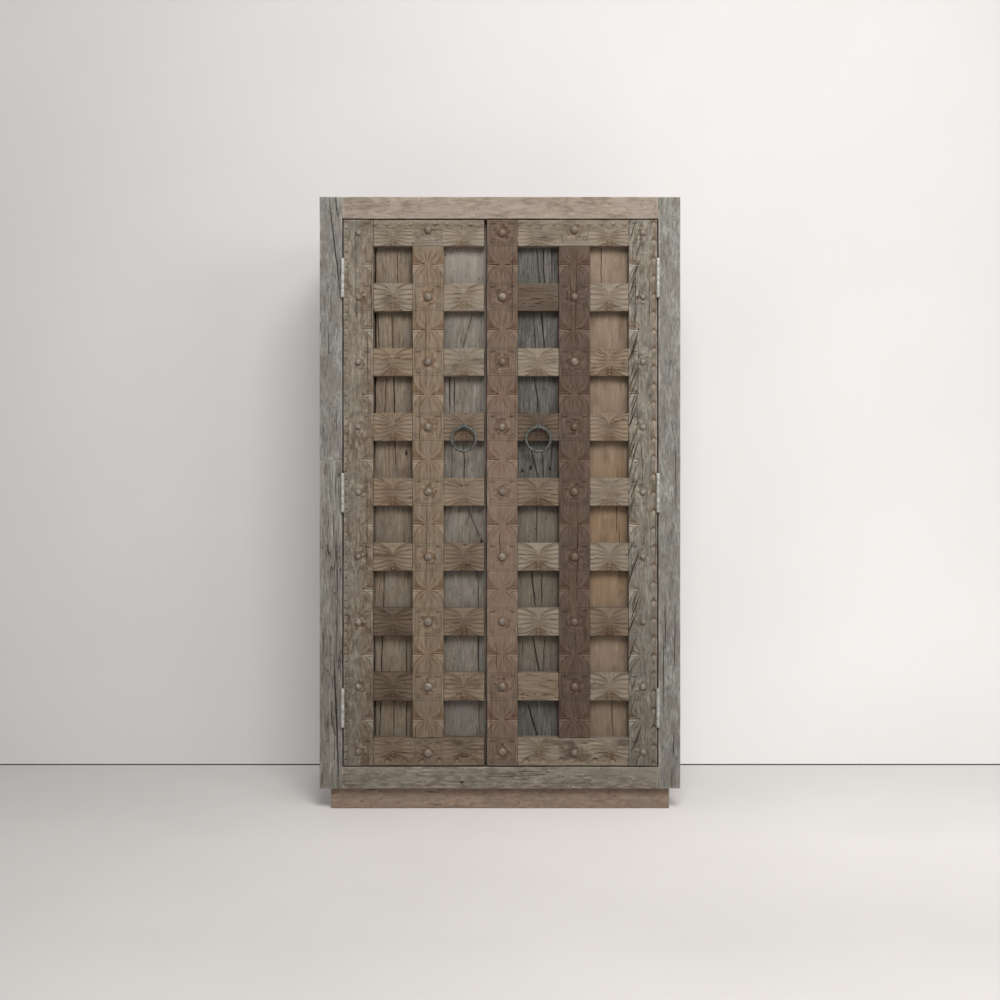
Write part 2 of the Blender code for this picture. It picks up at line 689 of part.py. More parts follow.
def build_ring_pull(door, rail, height):
    """A ring that hangs in an eye, whose shank goes through a rose into the rail."""
    side = door.name.split("_")[0]
    x = middle_of(door.across((door.strip[1], door.meeting[0])))
    form = bmesh.new()
    shank_end = ROSE_BACK + SHANK_LENGTH
    add_rod(form, (x, ROSE_BACK - ROSE_THICKNESS, height), (x, ROSE_BACK, height), ROSE_RADIUS)
    rose = mesh_from(f"{side}_ring_eye", form)
    rose.transform(Matrix.Translation((-x, -EYE_DEPTH, -height)))
    eye = add_part(f"{side}_ring_eye", rose, "dark_iron", door.carrier, (x, EYE_DEPTH, height))
    loop = torus_mesh(f"{side}_eye_loop", EYE_RADIUS, EYE_WIRE_RADIUS, ROUND_SIDES)
    loop.transform(Matrix.Translation((x, EYE_DEPTH, height)) @ Matrix.Rotation(math.pi / 2, 4, "Y"))
    combine(eye, "UNION", add_cutter(f"{side}_eye_loop", loop))
    form = bmesh.new()
    add_rod(form, (x, ROSE_BACK - ROSE_THICKNESS / 2, height), (x, shank_end, height), SHANK_RADIUS)
    combine(eye, "UNION", add_cutter(f"{side}_eye_shank", mesh_from(f"{side}_eye_shank", form)))
    form = bmesh.new()
    hole = SHANK_RADIUS + FIT_GAP
    add_rod(form, (x, RAIL_SETBACK - CUT_PAST, height), (x, shank_end + FIT_GAP, height), hole)
    combine(rail, "DIFFERENCE", add_cutter(f"{side}_eye_hole", mesh_from(f"{side}_eye_hole", form)))
    # The ring turns about the middle of its own wire, at the top, where it hangs in the eye
    axis = (x, EYE_DEPTH, height - RING_DROP)
    hang = anchor(f"{side}_ring_hang", Vector(axis) - place_of(door.carrier), door.carrier)
    ring = torus_mesh(f"{side}_ring", RING_RADIUS, RING_WIRE_RADIUS, RING_SIDES)
    ring.transform(Matrix.Translation((0, 0, -RING_RADIUS)) @ Matrix.Rotation(math.pi / 2, 4, "X"))
    add_part(f"{side}_ring", ring, "dark_iron", hang, axis)


def build_doors():
    left = Door(
        "left_door",
        1,
        OPENING_LEFT + DOOR_GAP,
        MEETING_X - MEETING_GAP / 2,
        LEFT_HINGE_STILE_WIDTH,
        LEFT_STRIP_SHIFT,
        0.0,
    )
    right = Door(
        "right_door",
        -1,
        OPENING_RIGHT - DOOR_GAP,
        MEETING_X + MEETING_GAP / 2,
        RIGHT_HINGE_STILE_WIDTH,
        RIGHT_STRIP_SHIFT,
        MEETING_STRIP_WIDTH,
    )
    build_door(left, "plank_timber", "brown_timber", ("plank_timber", "grey_timber"))
    build_door(right, "grey_timber", "dark_timber", ("pale_timber", "grey_timber"))


build_plinth()
build_carcass()
build_face_frame()
build_doors()
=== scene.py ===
import json
import math

import bpy
import numpy as np
from mathutils import Matrix, Vector

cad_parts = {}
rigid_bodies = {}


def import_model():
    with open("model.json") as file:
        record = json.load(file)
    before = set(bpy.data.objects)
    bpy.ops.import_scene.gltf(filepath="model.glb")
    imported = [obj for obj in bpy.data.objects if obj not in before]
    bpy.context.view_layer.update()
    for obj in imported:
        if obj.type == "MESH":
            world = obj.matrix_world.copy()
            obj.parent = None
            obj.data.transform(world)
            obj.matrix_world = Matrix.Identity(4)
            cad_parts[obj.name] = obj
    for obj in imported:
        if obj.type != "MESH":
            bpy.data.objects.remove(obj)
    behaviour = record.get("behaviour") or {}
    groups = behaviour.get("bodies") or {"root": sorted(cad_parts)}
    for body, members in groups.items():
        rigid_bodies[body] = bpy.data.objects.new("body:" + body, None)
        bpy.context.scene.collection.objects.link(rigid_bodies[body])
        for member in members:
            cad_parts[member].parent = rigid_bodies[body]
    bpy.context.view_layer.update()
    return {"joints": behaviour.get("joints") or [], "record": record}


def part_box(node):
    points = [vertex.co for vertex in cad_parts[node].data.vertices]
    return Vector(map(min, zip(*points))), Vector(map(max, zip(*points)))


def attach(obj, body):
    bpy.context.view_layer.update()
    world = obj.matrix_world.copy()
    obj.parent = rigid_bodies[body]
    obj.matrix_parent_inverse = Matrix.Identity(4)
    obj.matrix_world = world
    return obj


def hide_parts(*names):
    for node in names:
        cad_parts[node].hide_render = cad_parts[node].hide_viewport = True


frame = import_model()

MM = 0.001

# The camera stands square to the doors, at the height where the photograph's horizon lies.
IMAGE_PIXELS = 1000
PIXELS_PER_METRE = 360.9
SENSOR_MM = 36
CAMERA_DISTANCE = 3.2
CAMERA_HEIGHT = 0.86
WALL_BEHIND_FRONT = 0.548

# Places read from the CAD nodes.
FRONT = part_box("head_rail")[0].y
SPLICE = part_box("left_stile_upper")[0].z
FRAME_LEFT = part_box("left_stile_upper")[1].x
FRAME_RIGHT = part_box("right_stile")[0].x
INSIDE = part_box("side_right")[0].x
MIDDLE_RAILS = 7
SLOTS = {row["node"]: row["material_slot"] for row in frame["record"]["subparts"]}
JOINT_PLACES = {joint["name"]: Vector(joint["pos_m"]) for joint in frame["joints"]}

# How fine the show faces are cut, across and along the grain.
CARVED_STEPS = (1.4 * MM, 1.4 * MM)
BOARD_STEPS = (1.5 * MM, 6 * MM)
INSIDE_STEPS = (4 * MM, 12 * MM)
SIDE_RINGS = 3
# How far the edges of each kind of board are rubbed round.
RUBBED_EDGE = {"plain": 1.8 * MM, "door": 0.8 * MM, "frame": 0.7 * MM, "plinth": 4 * MM}
# A point nearer than this to a face or an edge is on it.
ON_FACE = 1e-6

# Across, up and out for each face that a board can show.
FACES = {
    "front": ((1, 0, 0), (0, 0, 1), (0, -1, 0)),
    "back": ((-1, 0, 0), (0, 0, 1), (0, 1, 0)),
    "left": ((0, -1, 0), (0, 0, 1), (-1, 0, 0)),
    "right": ((0, 1, 0), (0, 0, 1), (1, 0, 0)),
    "top": ((1, 0, 0), (0, 1, 0), (0, 0, 1)),
}

# Carving.
STRIP_RAYS = 3.0
BEAD_RADIUS = 4 * MM
BEAD_PITCH = 9 * MM
RIDGE_OFFSET = 3.0 * MM
RIDGE_HALF_WIDTH = 1.9 * MM
STILE_MARGIN = {"left": 15 * MM, "right": 22 * MM}
RAIL_MARGIN = 23 * MM
ARCH_PITCH = {"left": 21 * MM, "right": 50 * MM}
# The arches' pitch on a bottom and on a top rail.
RAIL_ARCH_PITCH = {False: 48 * MM, True: 33 * MM}
# How brown the wood is between the arches.
MARGIN_BROWN = {"left": 0.05, "right": 0.3}
RAIL_BROWN = 0.15
STUD_RADIUS = {"strip": 11.4 * MM, "stile": 9 * MM}
STUD_HEIGHT = 7.8 * MM
STUD_ROOT = 2.5 * MM
BLOCK_SETBACK = 2 * MM
# How far a hand strays from the line that it cuts.
HAND_SLIP = 1.3 * MM


# Helpers for colour, nodes and noise.
def linear(code):
    """A colour written as sRGB hex, turned to the linear values that a socket takes."""
    parts = [int(code[i:i + 2], 16) / 255 for i in (1, 3, 5)]
    parts = [c / 12.92 if c <= 0.04045 else ((c + 0.055) / 1.055) ** 2.4 for c in parts]
    return (*parts, 1.0)


def add_node(tree, kind, inputs=None, stops=None, **settings):
    """One node with its settings, its values and its links."""
    node = tree.nodes.new(kind)
    for name, value in settings.items():
        setattr(node, name, value)
    for socket, value in (inputs or {}).items():
        if isinstance(value, bpy.types.NodeSocket):
            tree.links.new(value, node.inputs[socket])
        else:
            node.inputs[socket].default_value = value
    if stops:
        elements = node.color_ramp.elements
        while len(elements) < len(stops):
            elements.new(1.0)
        for element, (place, colour) in zip(elements, stops):
            element.position = place
            element.color = colour
    return node


def lattice(i, j, seed):
    """A random number from -1 to 1 at each whole point, the same in every run."""
    n = (i * 73856093 ^ j * 19349663 ^ seed * 83492791) & 0x7FFFFFFF
    n = ((n ^ (n >> 15)) * 0x2C1B3C6D) & 0x7FFFFFFF
    n = ((n ^ (n >> 12)) * 0x297A2D39) & 0x7FFFFFFF
    return (n ^ (n >> 15)) / 0x3FFFFFFF - 1.0


def noise(x, y, seed):
    """Smooth noise from -1 to 1 over the plane."""
    x = np.asarray(x, float)
    y = np.asarray(y, float) + np.zeros_like(x)
    i = np.floor(x).astype(np.int64)
    j = np.floor(y).astype(np.int64)
    fx = x - i
    fy = y - j
    fx = fx * fx * (3 - 2 * fx)
    fy = fy * fy * (3 - 2 * fy)
    low = lattice(i, j, seed) * (1 - fx) + lattice(i + 1, j, seed) * fx
    high = lattice(i, j + 1, seed) * (1 - fx) + lattice(i + 1, j + 1, seed) * fx
    return low * (1 - fy) + high * fy


def ease(value, start, end):
    """0 before start, 1 after end and smooth between them."""
    t = np.clip((value - start) / (end - start), 0, 1)
    return t * t * (3 - 2 * t)


def groove(distance, half_width):
    """1 in the middle of a V groove and 0 at its edges."""
    return np.clip(1 - np.abs(distance) / half_width, 0, 1)


def own_share(seed, step):
    """A share from 0 to 1 that jumps about from seed to seed."""
    return seed * step % 1


# Materials.
# Sizes of the patterns in weathered timber.
BAND_WIDTH = 20 * MM
CHECK_SPACING = 12 * MM
CHECK_LENGTH = 140 * MM
CLOUD_WIDTH = 40 * MM
CLOUD_LENGTH = 110 * MM
PORE_SIZE = 2.2 * MM
WORM_SPACING = 6 * MM
# How far each board's pattern is shifted by its seed, and how far the seeds spread.
SEED_SHIFT = (3.7, 2.9, 5.3)
SEED_SPREAD = 9


def new_finish(name):
    """A new material, its node tree, its shader and the places that its patterns read."""
    made = bpy.data.materials.new(name)
    made.use_nodes = True
    tree = made.node_tree
    places = add_node(tree, "ShaderNodeTexCoord").outputs["Object"]
    return made, tree, tree.nodes["Principled BSDF"], places


def weathered_timber(name, tones, darkening_tone, grain, figure_size, checks):
    """Old hardwood left dry and unfinished: matt, mottled along the grain and greyed in patches, with
    hairline checks and wormholes, darker and browner in its cuts, and paler, rubbed edges. The darkening also
    carries painted shade, the paling painted highlights, and the browning painted shade in some hollows."""
    pale, mid, dark, patina, browning = (linear(tone) for tone in tones)
    made, tree, shader, places = new_finish(name)
    seed, dirt_and_shade, wear_and_highlight, cut = (add_node(tree, "ShaderNodeAttribute", attribute_name=layer).outputs["Fac"]
                             for layer in ("seed", "dirt_and_shade", "wear_and_highlight", "cut"))
    own = add_node(tree, "ShaderNodeVectorMath", {0: seed, 1: SEED_SHIFT, 2: places},
                   operation="MULTIPLY_ADD").outputs[0]

    def figure(width, length, detail, distortion):
        """Noise as wide across the grain, and as long along it, as these two sizes."""
        scale = [1 / width] * 3
        scale["xyz".index(grain)] = 1 / length
        stretched = add_node(tree, "ShaderNodeVectorMath", {0: own, 1: scale},
                             operation="MULTIPLY").outputs[0]
        return add_node(tree, "ShaderNodeTexNoise",
                        {"Vector": stretched, "Scale": 1.0, "Detail": detail, "Roughness": 0.6,
                         "Distortion": distortion}).outputs["Fac"]

    streaks = figure(*figure_size, 4.0, 0.3)
    bands = figure(BAND_WIDTH, 3 * figure_size[1], 3.0, 0.4)
    clouds = figure(CLOUD_WIDTH, CLOUD_LENGTH, 4.0, 0.6)
    lines = figure(CHECK_SPACING, CHECK_LENGTH, 2.0, 0.6)
    pores = figure(PORE_SIZE, PORE_SIZE * 2, 2.0, 0.0)
    worms = figure(WORM_SPACING, WORM_SPACING, 0.0, 0.0)
    blend = 0.0
    for layer, share in ((streaks, 0.55), (bands, 0.27), (pores, 0.18)):
        blend = add_node(tree, "ShaderNodeMath", {0: layer, 1: share, 2: blend},
                         operation="MULTIPLY_ADD").outputs[0]
    tone = add_node(tree, "ShaderNodeValToRGB", {"Fac": blend},
                    [(0.33, dark), (0.50, mid), (0.67, pale)]).outputs["Color"]
    greyed = add_node(tree, "ShaderNodeMapRange", {"Value": clouds, "From Min": 0.42, "From Max": 0.64,
                                                   "To Min": 0.0, "To Max": 0.7}).outputs[0]
    tone = add_node(tree, "ShaderNodeMix", {0: greyed, 6: tone, 7: patina}, data_type="RGBA").outputs[2]
    middle = add_node(tree, "ShaderNodeMath", {0: lines, 1: 0.5}, operation="SUBTRACT").outputs[0]
    middle = add_node(tree, "ShaderNodeMath", {0: middle}, operation="ABSOLUTE").outputs[0]
    hair = add_node(tree, "ShaderNodeMapRange", {"Value": middle, "From Min": 0.003,
                                                 "From Max": 0.008 + 0.02 * checks,
                                                 "To Min": 1.0, "To Max": 0.0}).outputs[0]
    broken = add_node(tree, "ShaderNodeMapRange", {"Value": clouds, "From Min": 0.40, "From Max": 0.58,
                                                   "To Min": 0.0, "To Max": checks}).outputs[0]
    hair = add_node(tree, "ShaderNodeMath", {0: hair, 1: broken}, operation="MULTIPLY").outputs[0]
    holes = add_node(tree, "ShaderNodeMapRange", {"Value": worms, "From Min": 0.80, "From Max": 0.85,
                                                  "To Min": 0.0, "To Max": 0.8}).outputs[0]
    hair = add_node(tree, "ShaderNodeMath", {0: hair, 1: holes}, operation="MAXIMUM").outputs[0]
    # Darker in checks, wormholes and dirt, and where shade is painted.
    darkening = add_node(tree, "ShaderNodeMath", {0: hair, 1: dirt_and_shade}, operation="MAXIMUM").outputs[0]
    # Browner in cuts, and where shade is painted brown in some hollows.
    tone = add_node(tree, "ShaderNodeMix", {0: cut, 6: tone, 7: browning}, data_type="RGBA").outputs[2]
    # Paler where rubbed, and where highlights are painted.
    tone = add_node(tree, "ShaderNodeMix", {0: wear_and_highlight, 6: tone, 7: pale}, data_type="RGBA").outputs[2]
    colour = add_node(tree, "ShaderNodeMix", {0: darkening, 6: tone, 7: linear(darkening_tone)},
                      data_type="RGBA").outputs[2]
    rough = add_node(tree, "ShaderNodeMapRange", {"Value": streaks, "From Min": 0.3, "From Max": 0.7,
                                                  "To Min": 0.95, "To Max": 0.75}).outputs[0]
    height = add_node(tree, "ShaderNodeMath", {0: blend, 1: hair}, operation="SUBTRACT").outputs[0]
    bump = add_node(tree, "ShaderNodeBump", {"Height": height, "Strength": 0.5,
                                             "Distance": 0.8 * MM}).outputs["Normal"]
    tree.links.new(colour, shader.inputs["Base Color"])
    tree.links.new(rough, shader.inputs["Roughness"])
    tree.links.new(bump, shader.inputs["Normal"])
    shader.inputs["IOR"].default_value = 1.45
    shader.inputs["Specular IOR Level"].default_value = 0.2
    return made


# The brown of wax and dust that has built up on old iron.
OLD_WAX = "#5c493c"


def worked_metal(name, bare, stain, roughness, metallic, blotch_size, pit_size):
    """Iron or steel that hands and weather have dulled: satin, cloudy, with stain where it pits, and dark
    old wax where the piece has a film of it."""
    made, tree, shader, places = new_finish(name)
    blotch = add_node(tree, "ShaderNodeTexNoise", {"Vector": places, "Scale": 1 / blotch_size,
                                                   "Detail": 4.0, "Roughness": 0.6}).outputs["Fac"]
    pits = add_node(tree, "ShaderNodeTexNoise", {"Vector": places, "Scale": 1 / pit_size,
                                                 "Detail": 2.0}).outputs["Fac"]
    colour = add_node(tree, "ShaderNodeValToRGB", {"Fac": blotch},
                      [(0.38, linear(stain)), (0.60, linear(bare))]).outputs["Color"]
    film = add_node(tree, "ShaderNodeAttribute", attribute_name="film").outputs["Fac"]
    colour = add_node(tree, "ShaderNodeMix", {0: film, 6: colour, 7: linear(OLD_WAX)},
                      data_type="RGBA").outputs[2]
    rough = add_node(tree, "ShaderNodeMapRange", {"Value": blotch, "From Min": 0.3, "From Max": 0.7,
                                                  "To Min": roughness + 0.12,
                                                  "To Max": roughness - 0.08}).outputs[0]
    bump = add_node(tree, "ShaderNodeBump", {"Height": pits, "Strength": 0.25,
                                             "Distance": 0.3 * MM}).outputs["Normal"]
    tree.links.new(colour, shader.inputs["Base Color"])
    tree.links.new(rough, shader.inputs["Roughness"])
    tree.links.new(bump, shader.inputs["Normal"])
    shader.inputs["Metallic"].default_value = metallic
    return made


# Each timber's rubbed, middle and deep tone, the patina that greys it in patches, and the raw brown of
# its deeper cuts. The rubbed tone also makes painted highlights, and the raw brown painted shade in some
# hollows.
TONES = {
    "silvered_stile_timber": ("#aaa9a1", "#7c7a74", "#484641", "#756f67", "#6a6057"),
    "cracked_stile_timber": ("#a5a39b", "#7a776f", "#474440", "#736a62", "#62574d"),
    "bleached_rail_timber": ("#aa9d8e", "#86796d", "#62554a", "#988c81", "#7d6a59"),
    "greyed_sill_timber": ("#aba293", "#71675c", "#3b362f", "#817b71", "#695d51"),
    "plinth_timber": ("#a18f7e", "#8a7768", "#68584b", "#857669", "#705b49"),
    "tan_block_timber": ("#978570", "#776756", "#55473a", "#7c7164", "#69533e"),
    "grey_tan_block_timber": ("#998c7c", "#7b7061", "#594f43", "#82796d", "#6b5743"),
    "brown_block_timber": ("#897765", "#6b5d4e", "#4b4035", "#70665b", "#5c4735"),
    "dark_block_timber": ("#736253", "#56493d", "#3c3229", "#5b5148", "#4c3a2c"),
    "tan_strip_timber": ("#998774", "#776856", "#56483a", "#7a6f62", "#75593f"),
    "brown_strip_timber": ("#8f7a69", "#6d5c4e", "#4f4136", "#6e6056", "#66493a"),
    "dark_strip_timber": ("#725f53", "#54453b", "#3b3029", "#574c45", "#533d31"),
    "worn_stile_timber": ("#a79e91", "#6d6255", "#473e35", "#7c766d", "#705842"),
    "fibrous_stile_timber": ("#afa79b", "#716a5f", "#3c352e", "#7d7972", "#71583f"),
    "brown_plank_timber": ("#95856f", "#766859", "#54473b", "#7a7268", "#6f5743"),
    "grey_plank_timber": ("#978e84", "#776f64", "#544c46", "#74716b", "#6d5f52"),
    "slate_plank_timber": ("#8a857d", "#595550", "#2b2926", "#605e5a", "#796b5a"),
    "warm_plank_timber": ("#9b8a76", "#82705f", "#685848", "#857565", "#8a6a45"),
    "inside_timber": ("#8d7b69", "#715f50", "#52453a", "#76695d", "#6a5442"),
}
# The colours that a brown and a grey timber darken to, with dirt and with painted shade.
BROWN_DARKENING = "#32261c"
GREY_DARKENING = "#2a2724"
GREY_TIMBERS = ("silvered_stile_timber", "cracked_stile_timber", "greyed_sill_timber",
                "slate_plank_timber", "grey_plank_timber")
# How clearly a timber shows hairline checks.
CHECKS = {
    "slate_plank_timber": 0.7, "silvered_stile_timber": 0.4, "cracked_stile_timber": 1.0,
    "brown_plank_timber": 0.4, "grey_plank_timber": 0.4, "worn_stile_timber": 0.45,
    "fibrous_stile_timber": 0.6, "bleached_rail_timber": 0.1, "warm_plank_timber": 0.1,
    "plinth_timber": 0.1,
}
PLAIN_CHECKS = 0.2
# How wide across the grain, and how long along it, each timber's mottling is.
FIGURES = {
    "bleached_rail_timber": (7 * MM, 30 * MM), "slate_plank_timber": (3.4 * MM, 50 * MM),
    "plinth_timber": (7 * MM, 18 * MM), "greyed_sill_timber": (5 * MM, 30 * MM),
    "warm_plank_timber": (5 * MM, 60 * MM), "silvered_stile_timber": (3.2 * MM, 18 * MM),
    "cracked_stile_timber": (3.6 * MM, 50 * MM), "worn_stile_timber": (7 * MM, 24 * MM),
    "fibrous_stile_timber": (4.2 * MM, 30 * MM),
}
PLAIN_FIGURE = (4 * MM, 40 * MM)
timbers = {}


def timber(tone, grain):
    """The material of one timber with its grain along x, y or z."""
    name = f"{tone}_{grain}"
    if name not in timbers:
        darkening = GREY_DARKENING if tone in GREY_TIMBERS else BROWN_DARKENING
        timbers[name] = weathered_timber(name, TONES[tone], darkening, grain, FIGURES.get(tone, PLAIN_FIGURE),
                                         CHECKS.get(tone, PLAIN_CHECKS))
    return timbers[name]


# Forged iron keeps a dark skin, stud heads are rubbed to the colour of the wood's dust, and the hinges
# are zinc-plated steel, pale and dull.
RING_IRON = worked_metal("forged_ring_iron", "#5b5c59", "#3a3a38", 0.5, 0.4, 9 * MM, 1.6 * MM)
STUD_IRON = worked_metal("forged_stud_iron", "#8f857a", "#6a5e53", 0.52, 0.2, 7 * MM, 1.6 * MM)
HINGE_STEEL = worked_metal("zinc_plated_hinge_steel", "#b2b0a9", "#94928b", 0.6, 0.25, 14 * MM, 1.2 * MM)


# Boards and their weathering.
def clear_selection():
    """Deselects everything, the CAD nodes too."""
    bpy.ops.object.select_all(action="DESELECT")


def apply_place():
    """Puts the selected piece's place, turn and scale into its mesh."""
    bpy.ops.object.transform_apply(location=True, rotation=True, scale=True)


def slab(name, low, high, face, step_across, step_up):
    """A board with a fine grid on its show face, extruded back to its thickness and closed."""
    across, up, out = (Vector(axis) for axis in FACES[face])
    size = Vector(high) - Vector(low)
    width = abs(size.dot(across))
    height = abs(size.dot(up))
    depth = abs(size.dot(out))
    centre = (Vector(low) + Vector(high)) / 2 + out * depth / 2
    turn = Matrix((across, up, out)).transposed().to_euler()
    clear_selection()
    bpy.ops.mesh.primitive_grid_add(
        x_subdivisions=max(2, round(width / step_across)),
        y_subdivisions=max(2, round(height / step_up)),
        size=1, location=centre, rotation=turn)
    piece = bpy.context.object
    piece.name = name
    piece.scale = (width, height, 1)
    apply_place()
    bpy.ops.object.mode_set(mode="EDIT")
    bpy.ops.mesh.select_all(action="SELECT")
    bpy.ops.mesh.region_to_loop()
    for _ in range(SIDE_RINGS):
        bpy.ops.mesh.extrude_region_move(TRANSFORM_OT_translate={"value": -out * depth / SIDE_RINGS})
    bpy.ops.mesh.edge_face_add()
    bpy.ops.mesh.select_all(action="SELECT")
    bpy.ops.mesh.normals_make_consistent(inside=False)
    bpy.ops.object.mode_set(mode="OBJECT")
    return piece


NARROWEST_SPLIT = 1.2 * MM
# How far a split strays from its line, and over what length.
SPLIT_WANDER = 1.4 * MM
SPLIT_WANDER_LENGTH = 30 * MM
HOLE_DEPTH = 6 * MM
CHIP_LENGTH = 26 * MM
# How far from an edge hands have rubbed the wood pale.
RUB_REACH = 3.5 * MM
REAR_GRIME = 0.08


def split(across, along, start, end, width, depth, seed):
    """Depth of one drying split that runs from start to end, each (across, along)."""
    run = (along - start[1]) / (end[1] - start[1])
    taper = np.sqrt(np.clip(np.sin(np.pi * np.clip(run, 0, 1)), 0, 1))
    wander = SPLIT_WANDER * noise(along / SPLIT_WANDER_LENGTH, 0.5, seed)
    middle = start[0] + (end[0] - start[0]) * run + wander
    half = np.maximum(width / 2 * (0.35 + 0.65 * taper), NARROWEST_SPLIT)
    return depth * taper * groove(across - middle, half)


def random_splits(count, width, length, seed):
    """Where a board's own small splits run: mostly along the grain, a few aslant."""
    pick = np.random.default_rng(seed)
    found = []
    for _ in range(count):
        across = pick.uniform(0.06, 0.94) * width
        begin = pick.uniform(-0.05, 0.9) * length
        reach = pick.uniform(0.04, 0.22) * length
        slant = pick.normal(0, 0.012) * reach
        found.append(((across, begin), (across + slant, begin + reach),
                      pick.uniform(1.5, 2.6) * MM, pick.uniform(1.2, 3.0) * MM))
    return found


def weather(piece, face, grain, seed, carve=None, splits=(), holes=(), rough=1.0, lumps=0.0, stain=0.0,
            edge=RUBBED_EDGE["plain"]):
    """Moves a slab's points: carving, raised grain, splits, holes, rubbed and chipped edges.
    It leaves the darkening (dirt and painted shade), the paling (wear and painted highlights) and the
    browning on the points for the material to read."""
    mesh = piece.data
    places = np.empty(len(mesh.vertices) * 3)
    mesh.vertices.foreach_get("co", places)
    places = places.reshape(-1, 3)
    across, up, out = (np.array(axis, float) for axis in FACES[face])
    u = places @ across
    v = places @ up
    deep = places @ out
    u -= u.min()
    v -= v.min()
    deep = deep.max() - deep
    width = u.max()
    height = v.max()
    show = deep < ON_FACE
    edge_u = np.minimum(u, width - u)
    edge_v = np.minimum(v, height - v)
    rim = np.minimum(edge_u, edge_v) < ON_FACE
    last = deep > deep.max() - ON_FACE
    runs_up = abs(up["xyz".index(grain)]) > 0.5
    a, g = (u, v) if runs_up else (v, u)

    def mottle(wide, long, layer):
        """Noise about as wide across the grain, and as long along it, as these millimetres."""
        return noise(a / (wide * MM), g / (long * MM), seed + layer)

    fibre = mottle(3.4, 60, 0)
    ridges = mottle(9, 170, 1)
    hewn = mottle(45, 130, 2)
    lump = 0.65 * mottle(12, 17, 8) + 0.35 * mottle(5, 8, 9)
    relief = (rough * (0.10 * fibre + 0.16 * ridges + 0.40 * hewn) + lumps * lump) * MM
    dirt_and_shade = np.clip(rough * (0.06 * fibre + 0.09 * ridges) + 0.42 * lumps * lump, 0, 1)
    lightening = np.clip(-0.55 * lumps * lump, 0, 1)
    cut = np.zeros_like(u)
    if carve:
        depth, darkening, pale, cut = carve(u, v)
        relief = relief + depth
        # The motif's darkening and paling include painted shade and painted highlights.
        dirt_and_shade = np.maximum(dirt_and_shade, darkening)
        lightening = np.maximum(lightening, pale)
    smear = mottle(22, 48, 12) + 0.4 * mottle(7, 15, 13)
    dirt_and_shade = np.maximum(dirt_and_shade, stain * ease(smear, 0.2, 1.0))
    for start, end, wide, far in splits:
        gap = split(a, g, start, end, wide, far, seed + 7)
        relief = relief + gap
        dirt_and_shade = np.maximum(dirt_and_shade, np.clip(1.4 * gap / far, 0, 1))
    for hole_a, hole_g, radius in holes:
        reach = np.hypot(a - hole_a, (g - hole_g) / 1.4) / radius
        pit = 1 - ease(reach, 0.45, 1.0)
        relief = relief + HOLE_DEPTH * pit
        dirt_and_shade = np.maximum(dirt_and_shade, pit)

    chips = noise(g / CHIP_LENGTH, a / CHIP_LENGTH, seed + 3)
    radius_a = edge * (0.9 + 0.5 * chips + 1.6 * np.clip(chips - 0.55, 0, 1))
    radius_g = edge * (0.9 + 0.5 * mottle(22, 22, 4))
    edge_a, edge_g = (edge_u, edge_v) if runs_up else (edge_v, edge_u)
    for distance, radius in ((edge_a, radius_a), (edge_g, radius_g)):
        inside = np.clip(radius - distance, 0, radius)
        relief = relief + radius - np.sqrt(np.maximum(radius ** 2 - inside ** 2, 0))
    near = np.exp(-np.minimum(edge_a, edge_g) / RUB_REACH)
    wear_and_highlight = np.maximum(np.clip(near * (0.3 + 0.5 * chips), 0, 0.6), lightening)

    shift = np.where(show, relief, 0)
    moved = places - out * shift[:, None]
    wobble = (0.25 + 0.25 * noise(g / (55 * MM), deep / (20 * MM), seed + 5)) * rough * MM
    wobble = np.where(rim & ~last, wobble, 0)
    push_u = np.where(edge_u < ON_FACE, np.where(u < width / 2, 1, -1), 0) * wobble
    push_v = np.where(edge_v < ON_FACE, np.where(v < height / 2, 1, -1), 0) * wobble
    moved = moved + across * push_u[:, None] + up * push_v[:, None]
    mesh.vertices.foreach_set("co", moved.reshape(-1))
    side_grime = np.clip(0.12 + 0.3 * noise(g / (40 * MM), deep / (12 * MM), seed + 6), 0, 1)
    side_grime = np.where(last, REAR_GRIME, side_grime)
    store(mesh, "dirt_and_shade", np.where(show, dirt_and_shade, side_grime))
    store(mesh, "wear_and_highlight", np.where(show, wear_and_highlight, 0))
    store(mesh, "cut", np.where(show, cut, 0))
    store(mesh, "seed", np.full(len(u), own_share(seed, 0.618) * SEED_SPREAD))
    mesh.update()


def store(mesh, name, values):
    """Keeps one value at each point, for the material to read."""
    layer = mesh.attributes.new(name, "FLOAT", "POINT")
    layer.data.foreach_set("value", values.astype(np.float32))


def smooth(piece, degrees=38):
    """Shades a piece smooth, apart from edges sharper than this."""
    clear_selection()
    piece.select_set(True)
    bpy.context.view_layer.objects.active = piece
    bpy.ops.object.shade_smooth_by_angle(angle=math.radians(degrees))


def board(name, low, high, face, tone, grain, seed, steps=BOARD_STEPS, **wear):
    """One weathered board in its timber. Wear holds what weather() takes after the seed."""
    runs_up = abs(FACES[face][1]["xyz".index(grain)]) > 0.5
    step_across, step_up = steps if runs_up else steps[::-1]
    piece = slab(name, low, high, face, step_across, step_up)
    weather(piece, face, grain, seed, **wear)
    piece.data.materials.append(timber(tone, grain))
    smooth(piece)
    return piece


def join(name, parts):
    """Several boards, studs or bars as one piece."""
    clear_selection()
    for part in parts:
        part.select_set(True)
    bpy.context.view_layer.objects.active = parts[0]
    if len(parts) > 1:
        bpy.ops.object.join()
    parts[0].name = name
    return parts[0]


def fit(piece, body, slot, *nodes):
    """The piece rides on its body and stands for its CAD nodes."""
    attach(piece, body)
    if nodes:
        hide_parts(*nodes)
    return piece


